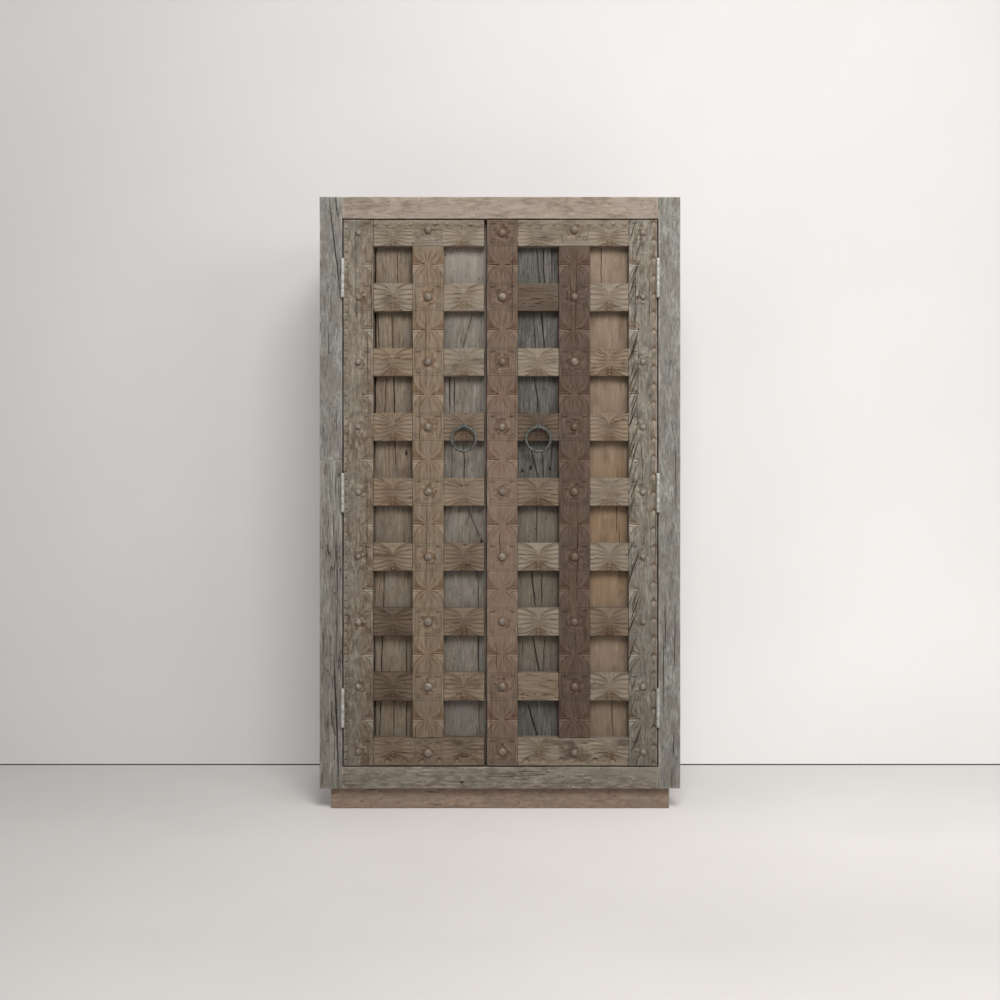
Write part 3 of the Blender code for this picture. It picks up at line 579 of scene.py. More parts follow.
# Cracks seen on the plain timbers, in millimetres: (x, z) at each end, then width and depth.
CRACKS = {
    "left_door_outer_plank": (
        (-349, 1620, -349, 1180, 7.5, 14), (-351, 1300, -350, 930, 5.5, 12), (-344, 1440, -338, 1240, 2.8, 6),
        (-303, 1400, -291, 925, 3.6, 9), (-323, 700, -338, 140, 3.4, 9), (-260, 560, -261, 140, 2.8, 6),
        (-350, 900, -351, 540, 2.4, 4), (-351, 500, -350, 130, 4.8, 10), (-287, 1600, -286, 1430, 2.0, 3),
        (-298, 340, -297, 150, 1.9, 4), (-318, 1240, -322, 1090, 2.0, 4)),
    "left_door_inner_plank": (
        (-72, 1400, -107, 1272, 2.4, 6), (-141, 1250, -140, 1095, 2.4, 6), (-127, 1220, -128, 1090, 3.0, 7),
        (-102, 1035, -100, 890, 2.8, 7), (-94, 850, -50, 738, 2.4, 6), (-62, 690, -57, 140, 3.2, 5)),
    "right_door_inner_plank": (
        (98, 1600, 116, 1430, 2.8, 7), (118, 1600, 126, 1440, 3.2, 8), (143, 1590, 147, 1470, 2.6, 6),
        (111, 1420, 127, 1265, 4.2, 10), (90, 1400, 101, 1280, 2.2, 5), (94, 1215, 112, 1085, 3.0, 7),
        (82, 1020, 110, 910, 3.2, 8), (117, 1020, 123, 910, 2.6, 6), (147, 1020, 139, 915, 2.4, 6),
        (104, 850, 100, 720, 2.0, 4), (86, 680, 99, 555, 4.0, 9), (119, 680, 115, 550, 2.4, 6),
        (91, 480, 112, 360, 4.0, 9), (124, 480, 121, 370, 2.4, 5), (76, 300, 108, 180, 4.2, 10)),
    "right_door_outer_plank": ((282, 1600, 283, 1440, 2.0, 4), (313, 320, 315, 170, 2.2, 4)),
    "left_stile_upper": ((-475, 1710, -440, 1405, 3.2, 8), (-459, 1710, -446, 1630, 2.4, 6)),
    "left_stile_lower": ((-461, 430, -446, 40, 3.8, 9), (-470, 262, -456, 205, 1.8, 4)),
    "right_stile": ((452, 480, 453, 240, 2.2, 5), (482, 215, 480, 150, 2.2, 5)),
}
# Knot and nail holes: (x, z) and radius, in millimetres.
HOLES = {
    "left_door_outer_plank": ((-262, 990, 5),),
    "left_door_inner_plank": ((-52, 741, 5),),
    "right_door_inner_plank": ((85, 948, 6), (62, 941, 5), (139, 948, 4.5)),
    "left_stile_lower": ((-442, 667, 3.5),),
    "sill_rail": ((-106, 77, 4),),
}


def known_flaws(node, low, grain):
    """The cracks and holes of one board, as weather() takes them: across and along the grain."""

    def placed(x, z):
        spot = (x * MM - low[0], z * MM - low[2])
        return spot if grain == "z" else spot[::-1]

    cracks = [(placed(x1, z1), placed(x2, z2), wide * MM, far * MM)
              for x1, z1, x2, z2, wide, far in CRACKS.get(node, ())]
    holes = [(*placed(x, z), radius * MM) for x, z, radius in HOLES.get(node, ())]
    return cracks, holes


# Carving. Each motif gives the depth cut, how much darker it is from grime and painted shade, how much
# paler from rubbing and painted highlights, and how much browner.
# Its x and z are measured from the middle of the motif.
def butterfly(x, z, half_x, half_z, flutes, tent, spokes, seed):
    """Two wings with fine flutes that run out from the middle, a hollow above painted pale as a highlight,
    and a beaded brown one below as wide as tent says, darkened towards its middle as painted shade, with
    highlights painted on its beads. The pale hollow has spokes, as clear as spokes says."""
    s = np.clip(np.abs(x) / half_x, 0, 1)
    t = z / half_z
    above = t > 0
    upper = 0.06 + 0.92 * (1 - (1 - s) ** 2) ** 0.62
    lower = 0.18 + 0.84 * (s / tent) ** 0.75
    limit = np.where(above, upper, lower)
    past = np.clip(np.abs(t) - limit, 0, 1) * half_z
    wing = past <= 0
    fan = flutes * t / upper
    wave = 1 - np.abs(np.cos(np.pi * fan))
    line = wave ** 3.5 * ease(s, 0.08, 0.34) * (0.7 + 0.3 * noise(fan, 2.3 * np.sign(x), seed + 31))
    bead = np.clip(1 - (x / BEAD_RADIUS) ** 2, 0, 1) * np.abs(np.sin(np.pi * (z + half_z) / BEAD_PITCH))
    step = ease(past, 0, 2.5 * MM)
    spoke = (1 - np.abs(np.sin(9 * np.arctan2(x, np.abs(z))))) ** 2 * ease(t, 0.12, 0.4) * spokes
    pale_hollow = (0.8 * MM * step + 0.13 * past) * (1 - 0.6 * spokes) + 1.4 * MM * spoke
    brown_hollow = 0.8 * MM * step + 0.20 * past
    brown_hollow = brown_hollow - bead * np.minimum(2.5 * MM, brown_hollow)
    fluted = (2.0 * line + 0.4 * wave * ease(s, 0.1, 0.5)) * MM
    depth = np.where(wing, fluted, np.where(above, pale_hollow, brown_hollow))
    edge = groove(np.abs(t) - limit, 0.08) * ease(s, 0.03, 0.12)
    middle = np.exp(-(x / (12 * MM)) ** 2)
    # Painted shade: the hollow below grows darker towards its middle and its foot.
    deep = 0.08 + 0.42 * middle * ease(past, 0, 16 * MM) * (1 - bead)
    darkening = np.where(wing, 0.65 * line + 0.15 * (1 - s) ** 2, np.where(above, 0.5 * spoke, deep))
    darkening = np.maximum(darkening, 0.7 * edge)
    # Painted highlights on the hollow above and on the beads below.
    hollow_lightening = np.where(above, (0.42 - 0.36 * spokes) * step, 0.45 * bead)
    lightening = np.where(wing, 0.5 * (1 - wave) * ease(s, 0.2, 0.85), hollow_lightening)
    # The hollow below is painted browner, partly as shade.
    browning = np.where(wing, 0.3 * line + 0.3 * (1 - s), np.where(above, 0.05, 0.5 + 0.5 * middle - 0.3 * bead))
    return depth + 0.9 * MM * edge, darkening, lightening, browning


def strip_fans(x, z, half_x, half_z, own):
    """Round fans that open up and down from a pair of ridges, with rays that spread from their middle,
    corners above them painted brown and darker as shade, corners below and the ridges painted pale as
    highlights, and a painted shadow line under the lower ridge. Own makes each fan unlike the others."""
    s = np.clip(np.abs(z) / half_z, 0, 1)
    t = np.abs(x) / half_x
    limit = 0.08 + 0.90 * (1 - (1 - s) ** 2) ** 0.52
    past = np.clip(t - limit, 0, 1) * half_x
    fan = past <= 0
    reach = np.hypot(x, z)
    turn = np.arctan2(x * (1 + 0.35 * s), np.abs(z)) / (np.pi / 2)
    own = 2.7 * own + 1.3 * np.sign(z)
    turn = turn + 0.09 * noise(2.5 * turn, own, 78)
    wave = 1 - np.abs(np.cos(np.pi * STRIP_RAYS * turn))
    line = wave ** 2.5 * ease(reach, 5 * MM, 13 * MM) * (1 - 0.85 * ease(reach, 24 * MM, 46 * MM))
    line = line * np.clip(0.75 + 0.6 * noise(3.7 * turn, own, 79), 0, 1)
    beside = ease(past, 0, 3 * MM)
    near = np.exp(-np.abs(z) / (13 * MM)) * beside
    wide = np.exp(-np.abs(z) / (24 * MM)) * beside
    ridge = groove(np.abs(z) - RIDGE_OFFSET, RIDGE_HALF_WIDTH)
    seam = groove(z, RIDGE_OFFSET - 0.8 * MM) * beside
    # Where the shadow under the lower ridge is painted as a dark line.
    foot = groove(z + 2.2 * RIDGE_OFFSET, 1.8 * MM) * beside
    upper = (0.6 * beside + 2.8 * near) * (1 - 0.9 * ridge) * MM
    lower = (0.3 * beside + 1.4 * near) * (1 - 0.9 * ridge) * MM
    above = z > 0
    depth = np.where(fan, (1.5 * line + 0.3 * wave) * MM, np.where(above, upper, lower))
    edge = groove(t - limit, 0.07) * ease(s, 0.04, 0.15)
    # Painted shade: the corners above the ridges are darker.
    darkening = np.where(fan, 0.5 * line, np.where(above, 0.5 * near * (1 - ridge), 0))
    darkening = np.maximum.reduce([darkening, 0.5 * edge, 0.8 * seam, 0.4 * foot])
    # Painted highlights: the corners below the ridges and the ridges themselves are paler.
    painted_lit_corner = np.where(above, 0, 0.95 * wide * (1 - foot))
    lightening = np.where(fan, 0.22 * (1 - wave) * (1 - s), np.maximum(ridge * beside, painted_lit_corner))
    # The corners above the ridges are painted browner as shade.
    browning = np.where(fan, 0.4 * line + 0.25 * (1 - s), np.where(above, wide ** 0.6 * (1 - ridge), 0))
    return depth + 0.8 * MM * edge, darkening, lightening, browning


def stud_panel(x, z, half_x, half_z, head, own):
    """A square round a stud's head: a line inside its edge, a dash cut in each upper corner, a curl in each
    lower one, and a ring of gouge cuts with painted highlights among them, unlike in each square as own says."""
    r = np.hypot(x, z)
    inset_x = half_x - np.abs(x)
    inset_z = half_z - np.abs(z)
    ring = np.exp(-((r - head - 8 * MM) / (7 * MM)) ** 2)
    gouges = noise(x / (8 * MM) + 7.3 * own, z / (6.5 * MM), 77)
    nicks = np.clip(1.4 * gouges, 0, 1) * ring
    collar = groove(r - head - 1.5 * MM, 3 * MM)
    line = groove(np.minimum(inset_x, inset_z) - 6.5 * MM, 1.7 * MM)
    dash = groove(inset_x - 16 * MM, 9 * MM) ** 0.4 * groove(inset_z - 11.5 * MM, 3.2 * MM) * (z > 0)
    curl = groove(np.hypot(inset_x - 15 * MM, inset_z - 14 * MM) - 5 * MM, 2 * MM) * (z < 0)
    border = groove(inset_z - 0.8 * MM, 1.8 * MM)
    depth = (1.9 * nicks + 0.9 * collar + 1.0 * line + 2.4 * dash + 1.5 * curl + 1.0 * border) * MM
    darkening = np.maximum.reduce([0.5 * nicks, 0.3 * collar, 0.4 * line, 0.9 * dash, 0.6 * curl, 0.5 * border])
    # Painted highlights among the gouges.
    lightening = np.clip(-1.4 * gouges, 0, 0.5) * ring
    browning = 0.4 * np.exp(-((r - head - 5 * MM) / (9 * MM)) ** 2)
    return depth, darkening, lightening, browning


def arch_band(across, along, margin, pitch, brown, turned):
    """A row of small cut arches between an edge and a wavy line, in wood as brown as brown says. They point
    along the row or, where they are turned, away from the edge."""
    place = np.mod(along, pitch) - pitch / 2
    inwards = across - 0.45 * margin
    size = min(0.17 * pitch, 0.34 * margin)
    ahead, beside = (inwards, place) if turned else (place, inwards)
    reach = np.hypot(ahead, beside)
    wave = groove(across - margin * (0.88 + 0.08 * np.cos(2 * np.pi * along / pitch)), 1.8 * MM)
    arch = groove(reach - size, 0.5 * size) * ease(ahead, -0.1 * size, 0.5 * size)
    notch = np.exp(-(np.hypot(ahead - 1.3 * size, beside) / (0.5 * size)) ** 2)
    cut = np.maximum(arch, notch)
    depth = (0.8 * wave + 1.5 * arch + 1.4 * notch) * MM
    darkening = np.maximum.reduce([0.3 * wave, 0.6 * arch, 0.5 * notch])
    # A highlight painted on the rounded wood inside each arch.
    lightening = 0.45 * np.exp(-(reach / (0.9 * size)) ** 2)
    browning = brown * (1 - ease(across, 0.5 * margin, margin))
    return depth, darkening, lightening, browning + (0.9 - browning) * cut


def hand_cut(x, z, seed):
    """The same places as an uneven hand follows them."""
    return (x + HAND_SLIP * noise(z / (17 * MM), x / (23 * MM), seed + 21),
            z + HAND_SLIP * noise(x / (17 * MM), z / (23 * MM), seed + 22))


def kept(motif, x, z, seed, wear):
    """What use and weather have left of a motif, from place to place."""
    share = np.clip(1 - wear + 0.32 * noise(x / (26 * MM), z / (21 * MM), seed + 11), 0.04, 1.1)
    depth, *tones = motif
    return (depth * share, *(tone * np.clip(share, 0, 1) for tone in tones))


def choose(where, first, second):
    """The first motif where the condition holds, and the second elsewhere."""
    return tuple(np.where(where, one, two) for one, two in zip(first, second))


# The two doors: their rows of rails, and the spans of their blocks.
def door_rails(door):
    """The names of a door's rails, from the top one down."""
    names = [f"{door}_door_rail_{i + 1}" for i in range(MIDDLE_RAILS)]
    return [f"{door}_door_top_rail", *names, f"{door}_door_bottom_rail"]


def door_rows(door):
    """(bottom, top) of each rail, from the top one down."""
    return [(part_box(name)[0].z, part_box(name)[1].z) for name in door_rails(door)]


# How brown the inner half of each hinge stile is.
BROWNED = {"left": 0.35, "right": 0.0}
# Half the height over which a stain comes in or goes out.
FADE = 0.07
# Two heights and no share, for a timber that a stain has not reached.
UNTOUCHED = (0, 1, 0)
# Where an upright is darkened by smoke at its top or rubbed by hands, between two heights, and how much.
SMOKED = {"right_door_meeting_strip": (1.05, 1.60, 0.30)}
RUBBED = {"right_door_meeting_strip": (0.42, 1.02, 0.30), "left_door_hinge_stile": (1.20, 1.32, 0.25)}
# The height below which each upright grows darker towards its foot, and how dark it is at the foot.
DARKER_FEET = {"left_door_hinge_stile": (0.80, 0.24), "right_door_hinge_stile": (0.80, 0.30),
            "left_door_mid_strip": (0.52, 0.24), "right_door_mid_strip": (0.52, 0.06),
            "right_door_meeting_strip": (0.35, 0.16)}
DARKEST_BELOW = 0.1
CRACKS_PER_RAIL = 7


def between(z, bottom, top, share):
    """A share that comes in at the bottom height and goes out at the top one, softly."""
    return share * ease(z, bottom - FADE, bottom + FADE) * (1 - ease(z, top - FADE, top + FADE))


def aged(motif, node, z):
    """A motif with the smoke, rubbing and darkening towards the foot that its upright has at this height."""
    depth, darkening, lightening, browning = motif
    start, full, share = SMOKED.get(node, UNTOUCHED)
    height, foot = DARKER_FEET[node]
    stain = np.maximum(share * ease(z, start, full), foot * (1 - ease(z, DARKEST_BELOW, height)))
    hands = between(z, *RUBBED.get(node, UNTOUCHED))
    return depth, darkening + stain * (1 - darkening), np.maximum(lightening, hands), browning


def carve_upright(node, door, seed, wear, head, outer_wear=None):
    """Carving of a whole strip or stile: a stud panel at each rail and fans between them. A hinge stile
    has a margin of small arches on its outer side and is worn more there."""
    low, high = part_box(node)
    rows = door_rows(door)
    middles = np.array([(bottom + top) / 2 for bottom, top in rows])
    halves = np.array([(top - bottom) / 2 for bottom, top in rows])
    gaps = np.array([(rows[i][0] + rows[i + 1][1]) / 2 for i in range(len(rows) - 1)])
    gap_half = (rows[1][0] - rows[2][1]) / 2
    half_x = (high.x - low.x) / 2
    outwards = -1 if door == "left" else 1

    def carve(u, v):
        x, z = hand_cut(u - half_x, v + low.z, seed)
        row = np.abs(z[:, None] - middles).argmin(1)
        gap = np.abs(z[:, None] - gaps).argmin(1)
        in_row = np.abs(z - middles[row]) <= halves[row]
        panel = stud_panel(x, z - middles[row], half_x, halves[row], head, row + 0.31 * seed)
        motif = choose(in_row, panel, strip_fans(x, z - gaps[gap], half_x, gap_half, gap + 0.31 * seed))
        local_wear = wear
        if outer_wear is not None:
            outer = half_x - outwards * x
            margin = STILE_MARGIN[door]
            local_wear = wear + (outer_wear - wear) * ease(outwards * x, -8 * MM, 6 * MM)
            local_wear = np.where(outer < margin, wear, local_wear)
            arches = arch_band(outer, z, margin, ARCH_PITCH[door], MARGIN_BROWN[door], False)
            motif = choose(outer < margin, arches, motif)
            motif = (*motif[:3], np.maximum(motif[3], BROWNED[door] * ease(-outwards * x, 0, 16 * MM)))
        return aged(kept(motif, x, z, seed, local_wear), node, z)

    return carve


def leaning_cracks(rows, foot, seed):
    """Deep cracks that lean towards the opening beside each rail, where a stile's grain runs out."""
    pick = np.random.default_rng(seed)
    found = []
    for bottom, top in rows:
        middle = (bottom + top) / 2 - foot
        for _ in range(CRACKS_PER_RAIL):
            across = pick.uniform(10, 36) * MM
            begin = middle + pick.uniform(-0.04, 0.12)
            length = pick.uniform(0.04, 0.11)
            lean = length * pick.uniform(0.25, 0.45)
            found.append(((across - lean, begin - length), (across, begin),
                          pick.uniform(2.0, 4.5) * MM, pick.uniform(1.2, 4) * MM))
    return found


def stud(name, x, z, radius, film, seed):
    """A forged nail head: a low dome, a little uneven and tilted, with about this much film on it."""
    pick = np.random.default_rng(seed)
    radius *= pick.uniform(0.92, 1.08)
    clear_selection()
    bpy.ops.mesh.primitive_uv_sphere_add(segments=28, ring_count=14, radius=radius,
                                         location=(x, FRONT, z), rotation=(math.pi / 2, 0, 0))
    piece = bpy.context.object
    piece.name = name
    apply_place()
    bpy.ops.object.mode_set(mode="EDIT")
    bpy.ops.mesh.select_all(action="SELECT")
    bpy.ops.mesh.bisect(plane_co=(x, FRONT + STUD_ROOT, z), plane_no=(0, 1, 0), use_fill=True,
                        clear_outer=True)
    bpy.ops.object.mode_set(mode="OBJECT")
    tilt = pick.uniform(-0.06, 0.06, 2)
    for point in piece.data.vertices:
        side = Vector((point.co.x - x, 0, point.co.z - z))
        height = FRONT - point.co.y
        dent = float(noise(np.array([point.co.x / (6 * MM)]), np.array([point.co.z / (6 * MM)]), seed)[0])
        if height > 0:
            height = height * STUD_HEIGHT / radius * (0.96 + 0.04 * dent)
            height += (tilt[0] * side.x + tilt[1] * side.z) * height / STUD_HEIGHT
            point.co = (x + side.x * (1 + 0.05 * dent), FRONT - height, z + side.z * (1 + 0.05 * dent))
    film = np.clip(film + pick.uniform(-0.3, 0.3), 0, 1)
    store(piece.data, "film", np.full(len(piece.data.vertices), film))
    piece.data.materials.append(STUD_IRON)
    smooth(piece, 60)
    return piece


# How much old wax lies on the studs of each timber.
STUD_FILM = {"dark_strip_timber": 0.75, "brown_strip_timber": 0.65, "tan_strip_timber": 0.4}
THIN_FILM = 0.12
# How far painted shade reaches from the sides and the top of an opening, how much darker a plank is at its
# foot and where that ends.
CORNER_SHADE_REACH = 6 * MM
FOOT_DARKENING = 0.12
FOOT_DARKENING_END = (0.25, 0.42)
# Where a plank has been cut back to browner wood, between two heights, and how far.
SCRUBBED = {"right_door_outer_plank": (0.58, 0.98, 0.34), "right_door_inner_plank": (0.38, 0.86, 0.50)}
# Where a plank was bleached paler, in the same way.
BLEACHED = {"left_door_inner_plank": (1.47, 1.75, 0.55), "right_door_outer_plank": (1.47, 1.75, 0.25)}


def corner_shade(node, door, spans):
    """Painted shade along the sides and under the top of each opening, on the plank behind it, a plank darker
    towards its foot, and the lengths of a plank that were scrubbed browner or bleached."""
    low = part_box(node)[0]
    rows = door_rows(door)

    def carve(u, v):
        x = u + low.x
        z = v + low.z
        first, second = min(spans, key=lambda span: abs((span[0] + span[1]) / 2 - x.mean()))
        if node == "left_door_inner_plank":
            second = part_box("right_door_meeting_strip")[0].x
        side = np.minimum(np.abs(x - first), np.abs(x - second))
        under = np.min([np.where(z < bottom, bottom - z, 1.0) for bottom, _ in rows], axis=0)
        # Painted shade beside the opening's sides and under its top.
        darkening = 0.42 * np.exp(-side / CORNER_SHADE_REACH) + 0.25 * np.exp(-under / CORNER_SHADE_REACH)
        # Darker towards the plank's foot.
        darkening = darkening + FOOT_DARKENING * (1 - ease(z, *FOOT_DARKENING_END))
        browning = between(z, *SCRUBBED.get(node, UNTOUCHED))
        lightening = between(z, *BLEACHED.get(node, UNTOUCHED))
        return np.zeros_like(u), np.clip(darkening, 0, 0.6), lightening, browning

    return carve


# Which timber each block is cut from, row by row from the top, on either side of the strips.
BLOCK_TIMBERS = {
    "left": (
        ("grey_tan", "grey_tan", "tan", "tan", "tan", "tan", "dark", "dark", "brown"),
        ("grey_tan", "grey_tan", "grey_tan", "brown", "tan", "brown", "brown", "tan", "brown"),
    ),
    "right": (
        ("grey_tan", "dark", "grey_tan", "dark", "brown", "grey_tan", "grey_tan", "tan", "brown"),
        ("grey_tan", "grey_tan", "tan", "tan", "grey_tan", "grey_tan", "brown", "grey_tan", "grey_tan"),
    ),
}
# Blocks whose carving is worn, by door, side and row, and how far.
PLAIN_BLOCKS = {("right", 0, 1): 0.85, ("right", 0, 7): 0.95, ("left", 1, 1): 0.4, ("left", 1, 2): 0.35}
PLANK_TIMBERS = {
    ("left", "outer"): "brown_plank_timber",
    ("left", "inner"): "grey_plank_timber",
    ("right", "outer"): "warm_plank_timber",
    ("right", "inner"): "slate_plank_timber",
}


def block_spans(door):
    """(low x, high x) of the visible blocks, left one first."""
    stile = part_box(f"{door}_door_hinge_stile")
    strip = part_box(f"{door}_door_mid_strip")
    if door == "left":
        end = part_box("left_door_rail_1")[1].x
        return [(stile[1].x, strip[0].x), (strip[1].x, end)]
    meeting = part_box("right_door_meeting_strip")
    return [(meeting[1].x, strip[0].x), (strip[1].x, stile[0].x)]


def door_block(door, side, row, node, span, seed):
    """One carved block of a middle rail."""
    low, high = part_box(node)
    wear = PLAIN_BLOCKS.get((door, side, row), 0.05 + 0.22 * own_share(seed, 0.37))
    plain = wear > 0.6
    half_x = (span[1] - span[0]) / 2
    half_z = (high.z - low.z) / 2
    flutes = 2.6 + (seed * 0.73) % 0.7
    tent = 0.42 + 0.5 * own_share(seed, 0.41)
    spokes = own_share(seed, 0.53)

    def carve(u, v):
        x, z = hand_cut(u - half_x, v - half_z, seed)
        return kept(butterfly(x, z, half_x, half_z, flutes, tent, spokes, seed), x, z, seed, wear)

    corners = ((span[0], FRONT + BLOCK_SETBACK, low.z), (span[1], high.y, high.z))
    tone = BLOCK_TIMBERS[door][side][row] + "_block_timber"
    return board(f"{node}_{side}", *corners, "front", tone, "x", seed, CARVED_STEPS, carve=carve,
                 splits=random_splits(12 if plain else 2, 2 * half_z, 2 * half_x, seed),
                 rough=2.4 if plain else 0.8, stain=0.5 * own_share(seed, 0.29))


# How far above its rail's middle the stud of a bottom and a top rail sits.
END_STUDS = {False: -3 * MM, True: 8 * MM}
# Its wings: how many flutes, how wide the brown hollow is and how clear the spokes are.
RAIL_WINGS = (2.2, 0.5, 0.7)
RAIL_WEAR = 0.12


def end_rail(door, node, spans, seed):
    """A top or bottom rail: two pairs of wings, a stud panel between them and arches outside."""
    low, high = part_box(node)
    is_top = node.endswith("top_rail")
    row = 0 if is_top else MIDDLE_RAILS + 1
    start, end = spans[0][0], spans[1][1]
    half_z = (high.z - low.z) / 2
    wing_half = half_z - RAIL_MARGIN / 2
    wing_z = -RAIL_MARGIN / 2 if is_top else RAIL_MARGIN / 2

    def carve(u, v):
        x, z = hand_cut(u + start, v - half_z, seed)
        first, second = spans[0][1], spans[1][0]
        motif = stud_panel(x - (first + second) / 2, z - END_STUDS[is_top], (second - first) / 2, half_z,
                           STUD_RADIUS["strip"], 0.31 * seed)
        for first, second in spans:
            wings = butterfly(x - (first + second) / 2, z - wing_z, (second - first) / 2, wing_half,
                              *RAIL_WINGS, seed)
            motif = choose((x >= first) & (x <= second), wings, motif)
        margin = (half_z - z) if is_top else (half_z + z)
        arches = arch_band(margin, x, RAIL_MARGIN, RAIL_ARCH_PITCH[is_top], RAIL_BROWN, True)
        motif = choose(margin < RAIL_MARGIN, arches, motif)
        return kept(motif, x, z, seed, RAIL_WEAR)

    return board(f"{node}_carved", (start, FRONT + BLOCK_SETBACK, low.z), (end, high.y, high.z), "front",
                 BLOCK_TIMBERS[door][0 if is_top else 1][row] + "_block_timber", "x", seed,
                 CARVED_STEPS, carve=carve,
                 splits=random_splits(3, 2 * half_z, end - start, seed), lumps=0.25,
                 stain=0.3 if is_top else 0.6)


def middle_x(node):
    """The x of a node's middle."""
    low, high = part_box(node)
    return (low.x + high.x) / 2


def dress_rails(door, seed):
    """The carved rails of one door: blocks between the uprights, and whole top and bottom rails."""
    spans = block_spans(door)
    for row, node in enumerate(door_rails(door)):
        if 0 < row <= MIDDLE_RAILS:
            blocks = [door_block(door, side, row, node, spans[side], seed + 20 * row + side)
                      for side in (0, 1)]
            piece = join(f"{node}_carved", blocks)
        else:
            piece = end_rail(door, node, spans, seed + 20 * row)
        fit(piece, f"{door}_door", SLOTS[node], node)


# Each upright's timber, how far its carving is worn inside and at its outer margin, and how rough and
# lumpy it is.
UPRIGHTS = {
    "left": (
        ("left_door_mid_strip", "tan_strip_timber", (0.02, None), 0.8, 0.15),
        ("left_door_hinge_stile", "worn_stile_timber", (0.0, 0.75), 1.2, 0.8),
    ),
    "right": (
        ("right_door_mid_strip", "dark_strip_timber", (0.02, None), 0.8, 0.15),
        ("right_door_hinge_stile", "fibrous_stile_timber", (0.05, 0.8), 1.2, 0.6),
        ("right_door_meeting_strip", "brown_strip_timber", (0.02, None), 0.8, 0.15),
    ),
}


def dress_uprights(door, seed):
    """The carved strips and stile of one door, with a stud where each crosses a rail."""
    rows = door_rows(door)
    studs = []
    for index, (node, tone, (wear, outer_wear), rough, lumps) in enumerate(UPRIGHTS[door]):
        low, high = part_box(node)
        own = seed + 300 + 10 * index
        splits = random_splits(5, high.x - low.x, high.z - low.z, own)
        if node == "right_door_hinge_stile":
            splits += leaning_cracks(rows, low.z, own)
        head = STUD_RADIUS["stile" if node.endswith("hinge_stile") else "strip"]
        carve = carve_upright(node, door, own, wear, head, outer_wear)
        piece = board(f"{node}_carved", (low.x, FRONT, low.z), high, "front", tone, "z", own, CARVED_STEPS,
                      carve=carve, splits=splits, rough=rough, lumps=lumps, edge=RUBBED_EDGE["door"])
        fit(piece, f"{door}_door", SLOTS[node], node)
        heights = [(bottom + top) / 2 for bottom, top in rows]
        if node.endswith("mid_strip"):
            heights[0] += END_STUDS[True]
            heights[-1] += END_STUDS[False]
        film = STUD_FILM.get(tone, THIN_FILM)
        studs += [(middle_x(node), z, head, film) for z in heights]
    heads = [stud(f"{door}_stud_{i}", *place, seed + 500 + i) for i, place in enumerate(studs)]
    fit(join(f"{door}_door_studs", heads), f"{door}_door", "dark_iron")


# The joint where the doors' inner planks meet, and how far its edges are cut back.
PLANK_SEAM = 0.7 * MM
SEAM_BEVEL = 5 * MM
SEAM_REACH = 1.5 * MM


def bevel_meeting_edge(piece, low, high, edge_x):
    """Cuts a plank's meeting edge back towards its rear, so that the doors pass each other."""
    inwards = 1 if edge_x == low.x else -1
    for point in piece.data.vertices:
        if abs(point.co.x - edge_x) < SEAM_REACH:
            point.co.x += inwards * SEAM_BEVEL * (point.co.y - low.y) / (high.y - low.y)


def dress_door_planks(door, seed):
    """The two boards behind one door's lattice."""
    spans = block_spans(door)
    for index, which in enumerate(("outer", "inner")):
        node = f"{door}_door_{which}_plank"
        low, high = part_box(node)
        own = seed + 700 + index
        cracks, holes = known_flaws(node, low, "z")
        if node == "left_door_inner_plank":
            high.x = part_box("right_door_inner_plank")[0].x - PLANK_SEAM
        splits = cracks + random_splits(4, high.x - low.x, high.z - low.z, own)
        piece = board(f"{node}_timber", low, high, "front", PLANK_TIMBERS[door, which], "z", own,
                      carve=corner_shade(node, door, spans), splits=splits, holes=holes, stain=0.25,
                      edge=RUBBED_EDGE["door"])
        if which == "inner":
            bevel_meeting_edge(piece, low, high, high.x if door == "left" else low.x)
        fit(piece, f"{door}_door", SLOTS[node], node)


def dress_door(door, seed):
    """Every timber and stud of one door."""
    dress_rails(door, seed)
    dress_uprights(door, seed)
    dress_door_planks(door, seed)


# The case: face frame, plinth, walls, floor and shelves.
FRAME_SEED = 41
PLINTH_SEED = 51
INSIDE_SEED = 91
# How many small splits a frame timber has beside those listed.
FRAME_SPLITS = {"head_rail": 0, "left_stile_lower": 9}
PLAIN_FRAME_SPLITS = 4
# Each plinth board's show face and grain.
PLINTH_BOARDS = (
    ("plinth_front", "front", "x"),
    ("plinth_rear", "back", "x"),
    ("plinth_left", "left", "y"),
    ("plinth_right", "right", "y"),
)
PLINTH_SPLIT_RUN = 0.4
# Each wall's show face, the axis across its boards, their number, their first seed and their timber.
WALLS = (
    ("side_left", "left", "y", 3, 61, "silvered_stile_timber"),
    ("side_right", "right", "y", 3, 65, "silvered_stile_timber"),
    ("back_panel", "back", "x", 6, 71, "inside_timber"),
    ("top_board", "top", "y", 3, 81, "bleached_rail_timber"),
)
WALL_HALF_GAP = 0.4 * MM
INSIDE_BOARDS = ("floor_board", "shelf_1", "shelf_2", "shelf_3")


